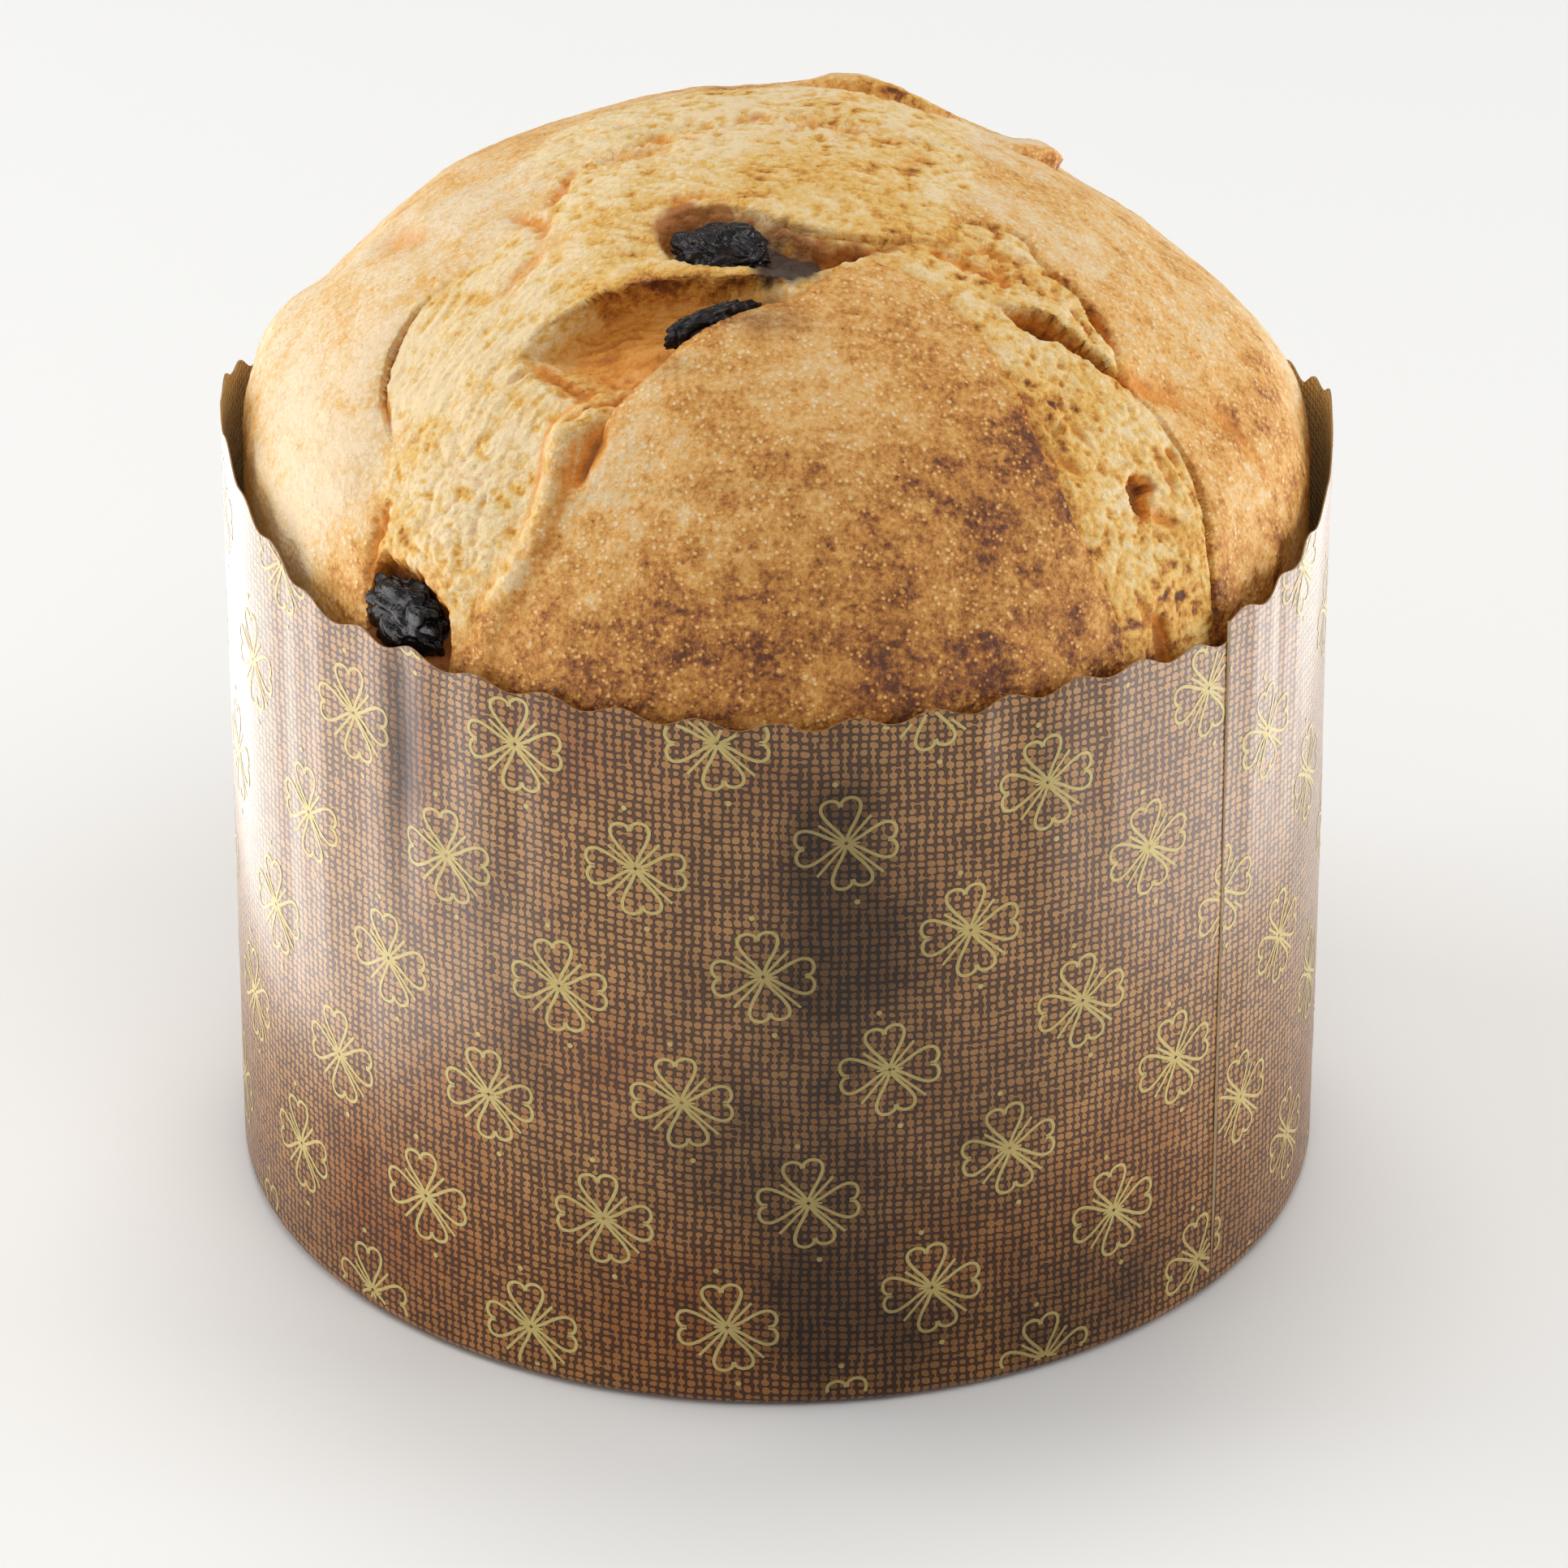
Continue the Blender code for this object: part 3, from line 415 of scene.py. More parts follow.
def smooth_noise(axes, seed):
    """Gradient noise from -1 to 1 over any two or three axes, one bump a unit."""
    floors = [np.floor(axis) for axis in axes]
    shares = [axis - floor for axis, floor in zip(axes, floors)]
    fades = [share ** 3 * (share * (6.0 * share - 15.0) + 10.0) for share in shares]
    total = np.zeros(axes[0].shape)
    for corner in range(2 ** len(axes)):
        bits = [(corner >> k) & 1 for k in range(len(axes))]
        draw = hashed([floor + bit for bit, floor in zip(bits, floors)], seed)
        turn = 2.0 * np.pi * draw
        up = 2.0 * ((draw * 977.0) % 1.0) - 1.0 if len(axes) == 3 else np.zeros(draw.shape)
        flat = np.sqrt(1.0 - up ** 2)
        slope = (flat * np.cos(turn), flat * np.sin(turn), up)
        weight = np.ones(axes[0].shape)
        level = np.zeros(axes[0].shape)
        for bit, share, fade, part in zip(bits, shares, fades, slope):
            weight = weight * (fade if bit else 1.0 - fade)
            level = level + part * (share - bit)
        total += weight * level
    return np.clip(1.7 * total, -1.0, 1.0)


def flat_noise(x, y, size, seed):
    """Noise over the plan, with bumps of that size in millimetres."""
    return smooth_noise([x / size, y / size], seed)


def solid_noise(points, size, seed):
    """Noise over points in space, with bumps of that size in millimetres."""
    return smooth_noise([points[..., axis] / size + 17.3 * (axis + 1) for axis in range(3)], seed)


def relief(x, y, ragged):
    """Rise of the dough over the plain dome, its sideways lean, how deep in a tear each point is (painted
    shade), and how near it is to the edge of a lip (browning that is partly painted shade)."""
    rise = patches(x, y, SWELLINGS)
    lean_x, lean_y, deep, edge = np.zeros((4, *x.shape))
    cover = {}
    for name, lip in LIPS.items():
        distance, height, away_x, away_y = near_path(x, y, spline(lip["path"]))
        distance = distance + lip["ragged"] * ragged
        share = height / max(point[2] for point in lip["path"])
        soft = 0.45 + 3.5 * (1.0 - clamp(1.6 * share))
        cover[name] = smooth_step(-1.0, 0.6, distance / soft)
        up = clamp(distance / lip["round"])
        crown = np.where(distance > 0, np.sqrt(1.0 - (1.0 - up) ** 2), 0.0)
        fade = np.exp(-(np.maximum(distance, 0.0) / lip["reach"]) ** 2)
        rise += height * crown * fade
        below = np.where(distance < 0, np.exp(-(distance / lip["crease_width"]) ** 2), 0.0)
        rise -= height * lip["crease"] * below
        # Painted shade: the crease under a raised lip is darkened
        deep = np.maximum(deep, clamp(height / 2.2) * lip["crease"] * below * 0.8)
        # The band along the lip's edge is browned, partly real browning and partly painted shade under the
        # overhang
        near_edge = clamp(height) * np.exp(-((distance - 0.4) / 0.9) ** 2)
        edge = np.maximum(edge, lip["shade_and_browning"] * near_edge)
        out = smooth_step(0.0, 0.35, up) * np.exp(-np.maximum(distance, 0.0) / (1.4 * lip["round"]))
        lean = lip["lean"] * share * out
        lean_x -= away_x * lean
        lean_y -= away_y * lean
    for pit in PITS.values():
        sunk = smooth_step(0.0, pit["slope"], signed_inside(x, y, pit["outline"]) + 0.25 * ragged)
        for name in pit["under"]:
            sunk = sunk * (1.0 - cover[name])
        rise -= pit["depth"] * sunk
        # Painted shade: a pit's floor is browned as it sinks
        deep = np.maximum(deep, pit["shade_and_browning"] * sunk)
    for line in STRANDS:
        distance, height, _, _ = near_path(x, y, spline(line["path"]))
        rise += height * np.exp(-np.abs(distance / line["width"]) ** 2.5)
        # Painted shade in the groove beside a raised strand
        beside = np.exp(-((np.abs(distance) - 1.3 * line["width"]) / 0.5) ** 2)
        deep = np.maximum(deep, 0.35 * clamp(height - 0.5) * beside)
    for crease in CREASES:
        distance, depth, _, _ = near_path(x, y, spline(crease["path"]))
        furrow = depth * np.exp(-((distance + 0.45 * ragged) / crease["width"]) ** 2)
        rise -= furrow
        # Painted shade: the furrow's floor is darkened
        deep = np.maximum(deep, furrow * 0.45)
    return rise, lean_x, lean_y, deep, edge


def side_radius(azimuth):
    """Radius of the dough beside the case. It has drawn away from the paper at the left and right."""
    flank = smooth_step(0.35, 0.95, np.abs(np.sin(azimuth)))
    return CASE_RADIUS - CAD_PAPER - SIDE_GAP_FRONT - (SIDE_GAP_FLANK - SIDE_GAP_FRONT) * flank


def dome(share, azimuth):
    """Points of the torn dome, their places on the plan, and how deep and how near an edge they are, for
    painted shade.
    share runs 0 at the crown to 1 at the wall and on down inside the case."""
    radius_wall = side_radius(azimuth)
    radius_shoulder = radius_wall - SHOULDER
    on_crown = np.minimum(share / SHOULDER_SHARE, 1.0)
    turn = np.pi / 2 * clamp((share - SHOULDER_SHARE) / (1.0 - SHOULDER_SHARE))
    radius = DOME_RADIUS * np.sin(on_crown * np.arcsin(radius_shoulder / DOME_RADIUS))
    radius = radius + SHOULDER * np.sin(turn)
    x = radius * np.sin(azimuth)
    y = -radius * np.cos(azimuth)
    out_x = x - DOME_CENTRE[0]
    out_y = y - DOME_CENTRE[1]
    rise_ball = np.sqrt(DOME_RADIUS ** 2 - out_x ** 2 - out_y ** 2)
    z = DOME_CENTRE[2] + rise_ball - SHOULDER_DROP * (1.0 - np.cos(turn))
    z = z - SKIRT_DEPTH * np.maximum(share - 1.0, 0.0) / SKIRT_SHARE
    ragged = flat_noise(x, y, 1.7, 11) + 0.6 * flat_noise(x, y, 0.8, 12)
    rise, lean_x, lean_y, deep, edge = relief(x, y, ragged)
    hold = 1.0 - smooth_step(0.90, 0.99, share)
    rise = rise * hold / DOME_RADIUS
    moved_x = x + out_x * rise + lean_x * hold
    moved_y = y + out_y * rise + lean_y * hold
    keep = np.minimum(radius_wall / np.maximum(np.hypot(moved_x, moved_y), 1e-6), 1.0)
    points = np.stack([moved_x * keep, moved_y * keep, z + rise_ball * rise], axis=-1)
    return points, x, y, deep, edge


def strands(x, y):
    """Height from -1 to 1 of the crumb's strands, which run along the grain."""
    doubled = np.zeros(x.shape, complex)
    for cx, cy, reach, heading in GRAIN:
        weight = np.exp(-((x - cx) ** 2 + (y - cy) ** 2) / reach ** 2) + 1e-6
        doubled += weight * np.exp(2j * np.radians(heading))
    angle = np.angle(doubled) / 2.0
    total, weights = np.zeros((2, *x.shape))
    for k, heading in enumerate(HEADINGS):
        turn = np.radians(heading)
        weight = np.exp(5.0 * (np.cos(2.0 * (angle - turn)) - 1.0))
        along, across = turned(x, y, turn)
        across = across + 0.8 * flat_noise(x, y, 5.0, 30 + k)
        coarse = 1.0 - 2.0 * np.abs(smooth_noise([along / 9.0, across / 1.25], 40 + k))
        fine = 1.0 - 2.0 * np.abs(smooth_noise([along / 4.5, across / 0.6], 50 + k))
        total += weight * (0.6 * coarse + 0.4 * fine)
        weights += weight
    return total / weights


def folds(points, size, seed):
    """1 along the thin winding creases of doughy crumb, and 0 between them."""
    bend = np.stack([solid_noise(points, 1.3 * size, seed + axis) for axis in range(3)], axis=-1)
    return np.exp(-(solid_noise(points + 0.5 * size * bend, size, seed + 5) / FOLD_WIDTH) ** 2)


def pores(x, y, crumb):
    """Depth of the small holes that are scattered over the crumb, in millimetres."""
    depth = np.zeros(x.shape)
    draw = np.random.default_rng(7)
    for _ in range(PORE_TRIES):
        cx = draw.uniform(*PORE_SPAN_X)
        cy = draw.uniform(*PORE_SPAN_Y)
        size = 0.20 + 0.62 * draw.random() ** 3
        stretch = draw.uniform(1.0, 2.6)
        turn = draw.uniform(-0.9, 0.5)
        if draw.random() > patches(cx, cy, POROUS):
            continue
        near = (np.abs(x - cx) < 3.0) & (np.abs(y - cy) < 3.0)
        along, across = turned(x[near] - cx, y[near] - cy, turn)
        hole = 1.3 * size * np.exp(-((along / (size * stretch)) ** 2 + (across / size) ** 2) ** 1.5)
        depth[near] = np.maximum(depth[near], hole)
    return depth * crumb


def linear(red, green, blue):
    """A linear colour with alpha from 0 to 255 display values."""
    values = np.array([red, green, blue]) / 255.0
    parts = np.where(values <= 0.04045, values / 12.92, ((values + 0.055) / 1.055) ** 2.4)
    return (*parts, 1.0)


class Look:
    """A material and short calls that add nodes to its tree."""

    def __init__(self, name, roughness=0.5, specular=0.5):
        self.material = bpy.data.materials.new(name)
        self.material.use_nodes = True
        self.nodes = self.material.node_tree.nodes
        self.links = self.material.node_tree.links
        self.shader = self.nodes["Principled BSDF"]
        self.uniform(Roughness=roughness, Specular_IOR_Level=specular)
        self.place = self.nodes.new("ShaderNodeTexCoord").outputs["Object"]

    def feed(self, socket, value):
        if isinstance(value, bpy.types.NodeSocket):
            self.links.new(value, socket)
        else:
            socket.default_value = value

    def node(self, kind, **inputs):
        """A new node whose inputs of those names, with spaces for underscores, are fed."""
        node = self.nodes.new("ShaderNode" + kind)
        for name, value in inputs.items():
            self.feed(node.inputs[name.replace("_", " ")], value)
        return node

    def attribute(self, name):
        node = self.node("Attribute")
        node.attribute_name = name
        return node.outputs["Fac"]

    def math(self, operation, first, second=0.0, third=0.0):
        node = self.node("Math")
        node.operation = operation
        for socket, value in zip(node.inputs, (first, second, third)):
            self.feed(socket, value)
        return node.outputs[0]

    def times(self, first, second):
        return self.math("MULTIPLY", first, second)

    def plus(self, first, second):
        return self.math("ADD", first, second)

    def minus(self, first, second):
        return self.math("SUBTRACT", first, second)

    def times_plus(self, first, second, third):
        return self.math("MULTIPLY_ADD", first, second, third)

    def rise(self, value, low, high, start=0.0, end=1.0):
        """start below low, end above high, and a smooth change between them."""
        node = self.node("MapRange", Value=value, From_Min=low, From_Max=high, To_Min=start, To_Max=end)
        node.interpolation_type = "SMOOTHSTEP"
        return node.outputs[0]

    def noise(self, size, detail=2.0, roughness=0.5, vector=None):
        """Noise from 0 to 1 with bumps of that size in millimetres."""
        node = self.node("TexNoise", Vector=self.place if vector is None else vector,
                         Scale=1.0 / (size * MM), Detail=detail, Roughness=roughness)
        return node.outputs["Fac"]

    def stretched(self, turn, stretch):
        """The object's places turned by those angles and scaled, for noise that is drawn out one way."""
        return self.node("Mapping", Vector=self.place, Rotation=turn, Scale=stretch).outputs["Vector"]

    def cells(self, size):
        """Distance to the nearest of scattered points that lie that many millimetres apart."""
        return self.node("TexVoronoi", Vector=self.place, Scale=1.0 / (size * MM)).outputs["Distance"]

    def dots(self, distance, inner, outer, share):
        """1 within the inner distance and 0 past the outer one, times a share."""
        return self.times(self.rise(distance, inner, outer, 1.0, 0.0), share)

    def random(self, first, second):
        """A random number from 0 to 1 for each pair of values."""
        node = self.node("TexWhiteNoise", Vector=self.node("CombineXYZ", X=first, Y=second).outputs[0])
        node.noise_dimensions = "2D"
        return node.outputs["Value"]

    def mix(self, first, second, share):
        node = self.node("Mix", Factor=share)
        node.data_type = "RGBA"
        self.feed(node.inputs[6], first)
        self.feed(node.inputs[7], second)
        return node.outputs[2]

    def ramp(self, value, stops):
        node = self.node("ValToRGB", Fac=value)
        elements = node.color_ramp.elements
        while len(elements) < len(stops):
            elements.new(0.5)
        for element, (position, colour) in zip(elements, stops):
            element.position = position
            element.color = colour
        return node.outputs["Color"]

    def bump(self, height, depth):
        """Small relief, height 0 to 1 of that depth in millimetres."""
        node = self.node("Bump", Strength=1.0, Distance=depth * MM, Height=height)
        self.links.new(node.outputs["Normal"], self.shader.inputs["Normal"])

    def colour(self, value):
        self.feed(self.shader.inputs["Base Color"], value)

    def uniform(self, **values):
        """Set the shader's own sockets of those names, with spaces for underscores."""
        for name, value in values.items():
            self.shader.inputs[name.replace("_", " ")].default_value = value


def crust_look():
    """Golden crust with pale blisters, and torn crumb with brown strands, darkened orange and brown as
    painted shade where it lies deep.
    """
    look = Look("baked_crust", roughness=0.55, specular=0.4)
    crumb = look.attribute("crumb")
    # Browning of the crust, with painted light and shade in it
    toast_and_light = look.attribute("toast_and_light")
    deep = look.attribute("deep")
    strand = look.attribute("strand")
    film = look.attribute("film")
    skin = look.attribute("skin")
    broad = look.noise(11.0)
    mottle = look.noise(3.2, detail=3.0, roughness=0.6)
    grain = look.noise(0.70, detail=4.0, roughness=0.7)
    streaks = look.noise(1.5, detail=3.0, vector=look.stretched((0.0, 0.0, 0.75), (0.16, 1.0, 1.0)))
    blister = look.cells(0.85)
    large_blister = look.cells(1.9)
    spots = look.dots(blister, 0.16, 0.34, look.rise(look.noise(2.4), 0.38, 0.56))
    large = look.dots(large_blister, 0.13, 0.22, look.rise(look.noise(6.0), 0.48, 0.6))
    pits = look.dots(look.cells(1.5), 0.06, 0.15, look.rise(mottle, 0.4, 0.6))
    browned = toast_and_light
    for source, gain in ((broad, 0.80), (mottle, 0.84), (grain, 1.10), (streaks, 0.40)):
        browned = look.plus(browned, look.times_plus(source, gain, -gain / 2))
    browned = look.plus(browned, look.times(pits, 0.18))
    plain_crust = look.minus(1.0, look.times(crumb, 0.8))
    for source, gain in ((spots, -0.40), (large, -0.30)):
        browned = look.times_plus(look.times(source, plain_crust), gain, browned)
    # Painted shade: browner where the crumb lies deep
    browned = look.times_plus(deep, 0.42, browned)
    fibres = look.times(look.rise(strand, -0.5, 0.8, 0.34, -0.22), crumb)
    browned = look.plus(browned, fibres)
    crust = look.ramp(browned, (
        (0.0, linear(232, 208, 172)), (0.20, linear(226, 194, 144)), (0.42, linear(224, 173, 98)),
        (0.64, linear(200, 138, 60)), (0.84, linear(152, 90, 32)), (1.0, linear(94, 47, 16))))
    torn = look.ramp(browned, (
        (0.0, linear(236, 212, 168)), (0.20, linear(230, 198, 138)), (0.42, linear(226, 180, 94)),
        (0.64, linear(206, 146, 56)), (0.84, linear(160, 96, 34)), (1.0, linear(98, 52, 18))))
    body = look.mix(crust, torn, crumb)
    # Painted shade: orange, then dark brown, in tears, creases, pits and pores
    body = look.mix(body, linear(224, 140, 44), look.rise(deep, 0.0, 0.50, 0.0, 0.85))
    body = look.mix(body, linear(110, 50, 12), look.rise(deep, 0.42, 0.95, 0.0, 0.8))
    body = look.mix(body, linear(158, 86, 14), film)
    body = look.mix(body, linear(50, 36, 36), skin)
    look.feed(look.shader.inputs["Roughness"], look.times_plus(skin, -0.35, 0.55))
    look.uniform(Subsurface_Weight=0.30, Subsurface_Radius=(1.0, 0.42, 0.14), Subsurface_Scale=2.2 * MM)
    look.colour(body)
    pebble = look.times_plus(blister, -0.5, grain)
    pebble = look.times_plus(large, 0.35, pebble)
    pebble = look.times_plus(look.times(streaks, crumb), 0.8, pebble)
    look.bump(pebble, 0.38)
    return look.material


def weave(look):
    """How far the tan beads of the weave cover a point, and how far the point is from all of them."""
    arc = look.attribute("arc")
    level = look.attribute("level")
    wobble = look.noise(5.0)
    shiver = look.noise(2.0)
    across = look.times_plus(wobble, 0.7, look.math("DIVIDE", arc, THREAD))
    across = look.times_plus(shiver, 0.55, across)
    wobble_up = look.noise(6.0)
    slope = look.times_plus(arc, 0.06, level)
    up = look.times_plus(wobble_up, 0.7, look.math("DIVIDE", slope, THREAD * 0.88))
    up = look.times_plus(shiver, -0.45, up)
    column = look.math("FLOOR", across)
    row = look.math("FLOOR", up)
    off_x = look.math("ABSOLUTE", look.minus(look.minus(across, column), 0.5))
    off_y = look.math("ABSOLUTE", look.minus(look.minus(up, row), 0.5))
    fat = look.times_plus(look.random(column, row), 0.19, 0.27)
    square = look.plus(look.math("POWER", off_x, 2.4), look.math("POWER", off_y, 2.4))
    reach = look.minus(look.math("POWER", square, 0.4167), fat)
    border = look.math("FLOOR", look.plus(up, 0.5))
    joined = look.math("GREATER_THAN", look.random(column, look.plus(border, 0.37)), 0.60)
    neck = look.minus(off_x, look.rise(off_y, 0.15, 0.5, 0.16, 0.09))
    neck = look.plus(neck, look.minus(1.0, joined))
    neck = look.plus(neck, look.rise(off_y, 0.10, 0.16, 1.0, 0.0))
    side = look.math("FLOOR", look.plus(across, 0.5))
    linked = look.math("GREATER_THAN", look.random(look.plus(side, 0.61), row), 0.94)
    bridge = look.minus(off_y, 0.10)
    bridge = look.plus(bridge, look.minus(1.0, linked))
    bridge = look.plus(bridge, look.rise(off_x, 0.10, 0.16, 1.0, 0.0))
    distance = look.math("MINIMUM", reach, look.math("MINIMUM", neck, bridge))
    return look.rise(distance, -0.045, 0.035, 1.0, 0.0), look.rise(distance, 0.05, 0.16)


def paper_look():
    """Brown paper printed with a tan weave, darker and redder where the loaf's fat has soaked in, and towards
    the foot as painted shade.
    """
    look = Look("printed_paper", roughness=0.4, specular=0.2)
    fat_stain_and_shade = look.attribute("fat_stain_and_shade")
    warm_stain_and_shade = look.attribute("warm_stain_and_shade")
    gloss = look.attribute("gloss")
    bead, far = weave(look)
    cloud = look.noise(14.0, detail=3.0)
    ring = look.mix(linear(66, 38, 18), linear(48, 27, 12), cloud)
    ground = look.mix(ring, linear(100, 62, 30), look.times(far, 0.75))
    tan = look.mix(linear(186, 138, 82), linear(158, 110, 58), look.noise(1.6))
    body = look.mix(ground, tan, bead)
    # Fat stains, with painted shade towards the foot
    body = look.mix(body, look.mix(linear(70, 34, 12), linear(150, 86, 30), bead), warm_stain_and_shade)
    body = look.mix(body, look.mix(linear(28, 18, 12), linear(68, 44, 24), bead), fat_stain_and_shade)
    look.colour(body)
    look.bump(look.plus(look.times(bead, 0.3), look.noise(0.5)), 0.03)
    look.feed(look.shader.inputs["Coat Weight"], gloss)
    look.uniform(Coat_IOR=1.50, Coat_Roughness=0.24, Sheen_Weight=0.10, Sheen_Roughness=0.2)
    return look.material


def lining_look():
    """The inside of the case: plain paper where the print shows through as pale brown bricks, made lighter as
    painted light for the light that shines through the paper.
    """
    look = Look("paper_lining", roughness=0.6, specular=0.4)
    bead, _ = weave(look)
    look.colour(look.mix(linear(196, 160, 92), linear(240, 226, 176), bead))
    return look.material


def edge_look(name, light, dark):
    """A cut edge of the paper."""
    look = Look(name, roughness=0.7, specular=0.3)
    look.colour(look.mix(light, dark, look.noise(1.2)))
    return look.material


def gold_look():
    """Gold ink, flat and slightly silky, with the paper's grain showing."""
    look = Look("gold_ink", roughness=0.38, specular=0.6)
    fade = look.noise(0.6)
    fat_stain_and_shade = look.attribute("fat_stain_and_shade")
    ink = look.mix(linear(206, 186, 116), linear(172, 150, 82), fade)
    # The ink darkens with the fat stains and with the painted shade towards the foot
    look.colour(look.mix(ink, linear(128, 108, 52), fat_stain_and_shade))
    return look.material


def raisin_look(name, shine, bloom):
    """Wrinkled near-black skin, with a grey bloom in patches."""
    look = Look(name, roughness=shine, specular=0.30)
    patch = look.noise(1.3, detail=4.0, roughness=0.65)
    share = look.times(look.rise(patch, 0.52, 0.70), bloom)
    look.colour(look.mix(linear(16, 11, 12), linear(92, 80, 84), share))
    look.feed(look.shader.inputs["Roughness"], look.rise(patch, 0.4, 0.7, shine, shine + 0.22))
    look.bump(look.times_plus(look.noise(0.5), 0.4, patch), 0.16)
    return look.material


def add_object(name, data):
    item = bpy.data.objects.new(name, data)
    bpy.context.scene.collection.objects.link(item)
    return item


def sheet_mesh(name, points, normals, attributes, material, uv=None):
    """A smooth mesh over a two-way array of points in millimetres, with its normals and point values."""
    rows, columns = points.shape[:2]
    index = np.arange(rows * columns).reshape(rows, columns)
    around = (index[:-1, :-1], index[:-1, 1:], index[1:, 1:], index[1:, :-1])
    corners = np.stack(around, axis=-1).reshape(-1, 4)
    mesh = bpy.data.meshes.new(name)
    mesh.vertices.add(rows * columns)
    mesh.vertices.foreach_set("co", (points * MM).ravel())
    mesh.loops.add(corners.size)
    mesh.loops.foreach_set("vertex_index", corners.ravel().astype(np.int32))
    mesh.polygons.add(len(corners))
    mesh.polygons.foreach_set("loop_start", np.arange(0, corners.size, 4, dtype=np.int32))
    mesh.update(calc_edges=True)
    mesh.validate()
    mesh.shade_smooth()
    for key, values in attributes.items():
        layer = mesh.attributes.new(key, "FLOAT", "POINT")
        layer.data.foreach_set("value", values.ravel().astype(np.float32))
    if uv is not None:
        layer = mesh.uv_layers.new(name="OFBake")
        layer.data.foreach_set("uv", uv.reshape(-1, 2)[corners.ravel()].astype(np.float32).ravel())
    if normals is not None:
        mesh.normals_split_custom_set_from_vertices(normals.reshape(-1, 3))
    mesh.materials.append(material)
    return add_object(name, mesh)


def grid_normals(points):
    """Unit normals of a two-way array of points, from its differences."""
    along = np.gradient(points, axis=1)
    down = np.gradient(points, axis=0)
    normals = np.cross(along, down)
    return normals / np.maximum(np.linalg.norm(normals, axis=-1, keepdims=True), 1e-9)


def build_crust():
    """The dome's net with its tears, strands and pores, in a front, a top and a back piece."""
    side = np.linspace(-1.0, 1.0, NET + 1)
    net_x, net_y = np.meshgrid(side, side - NET_PULL * (1.0 - side ** 2))
    disc_x = net_x * np.sqrt(1.0 - net_y ** 2 / 2.0)
    disc_y = net_y * np.sqrt(1.0 - net_x ** 2 / 2.0)
    share = np.minimum(np.hypot(disc_x, disc_y), 1.0) * (1.0 + SKIRT_SHARE)
    points, x, y, deep, edge = dome(share, np.arctan2(disc_x, -disc_y))
    edge_noise = flat_noise(x, y, 2.5, 21) + 0.5 * flat_noise(x, y, 0.9, 22)
    inside = signed_inside(x, y, CRUMB)
    crumb = smooth_step(-1.2, 1.2, inside + 1.2 * edge_noise)
    strand = strands(x, y)
    hole = pores(x, y, crumb)
    film = smooth_step(-0.6, 1.0, signed_inside(x, y, FILM) + 0.7 * edge_noise)
    skin = smooth_step(-0.4, 1.0, signed_inside(x, y, RAISIN_SKIN) + 0.5 * edge_noise)
    under_skin = 0.40 * patches(x, y, RAISIN_SHADOWS) * (1.0 - crumb)
    smooth = grid_normals(points)
    ball = points - np.array(DOME_CENTRE)
    facing = (smooth * ball).sum(-1) / np.linalg.norm(ball, axis=-1)
    level_part = smooth_step(0.55, 0.9, facing)
    body_noise, skin_noise = (sum(height * solid_noise(points, size, seed) for height, size, seed in layers)
                              for layers in (BODY_BUMPS, SKIN_BUMPS))
    long_fibres = np.clip(patches(x, y, FIBROUS), 0.15, 1.0)
    sponge = 0.5 - np.abs(solid_noise(points, 2.2, 65)) + 0.6 * (0.4 - np.abs(solid_noise(points, 1.1, 66)))
    curls = 0.6 * folds(points, 4.6, 70) + 0.4 * folds(points, 2.2, 170)
    curls = curls * clamp(patches(x, y, CURLY))
    torn = clamp(patches(x, y, SPONGY)) * crumb * (1.0 - folds(points, 2.3, 180))
    torn_noise = (0.52 * strand * level_part * (0.30 + 0.70 * long_fibres)
                  + 0.30 * sponge * (1.0 - 0.7 * long_fibres) - 0.50 * curls)
    raised = body_noise + (1.0 - crumb) * skin_noise + crumb * torn_noise - hole * level_part - 0.9 * torn
    raised *= 1.0 - smooth_step(0.93, 1.0, share)
    raised += skin * 0.5 * (0.4 - np.abs(solid_noise(points, 1.6, 68)))
    points = points + smooth * raised[..., None]
    normals = grid_normals(points)

    # Browner near the case wall, partly real browning and partly painted shade where the dough curves down
    # into the case
    near_wall = smooth_step(60.5, 65.0, np.hypot(x, y))
    toast_and_light = TOAST_PLAIN + patches(x, y, TOAST_AND_LIGHT) + 0.20 * near_wall
    toast_and_light = toast_and_light + 0.08 * flat_noise(x, y, 12.0, 71)
    # Browner along the lips' edges, partly real browning and partly painted shade, and painted shade on faces
    # that turn away from the crown
    toast_and_light = toast_and_light + 0.22 * edge + 0.10 * clamp(0.9 - facing)
    tone = long_fibres * strand + (1.0 - long_fibres) * np.clip(1.6 * sponge, -1.0, 1.0)
    # deep is painted shade in tears, creases, pits, pores, curly folds and sponge holes
    values = dict(
        crumb=crumb, toast_and_light=toast_and_light, strand=tone, film=film * 0.9, skin=np.maximum(skin * 0.95, under_skin),
        deep=clamp(deep + 0.35 * hole + 0.16 * curls + 0.16 * torn))
    uv = np.stack(np.meshgrid(side * 0.5 + 0.5, side * 0.5 + 0.5), axis=-1)
    material = crust_look()
    thirds = (0, NET // 3, 2 * NET // 3, NET)
    for name, first, last in zip(("crust_front", "crust_top", "crust_back"), thirds[:-1], thirds[1:]):
        rows = slice(first, last + 1)
        row_values = {key: value[rows] for key, value in values.items()}
        piece = sheet_mesh(name, points[rows], normals[rows], row_values, material, uv[rows])
        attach(piece, "root")
        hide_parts("loaf")


def rim_height(azimuth):
    """Height of the case's edge, azimuth in degrees from the seam's 52 up to 412."""
    slow = np.interp(azimuth, [point[0] for point in RIM_PATH], [point[1] for point in RIM_PATH])
    return slow + SCALLOP_DEPTH / 2 * np.cos(np.radians(azimuth) * SCALLOPS)


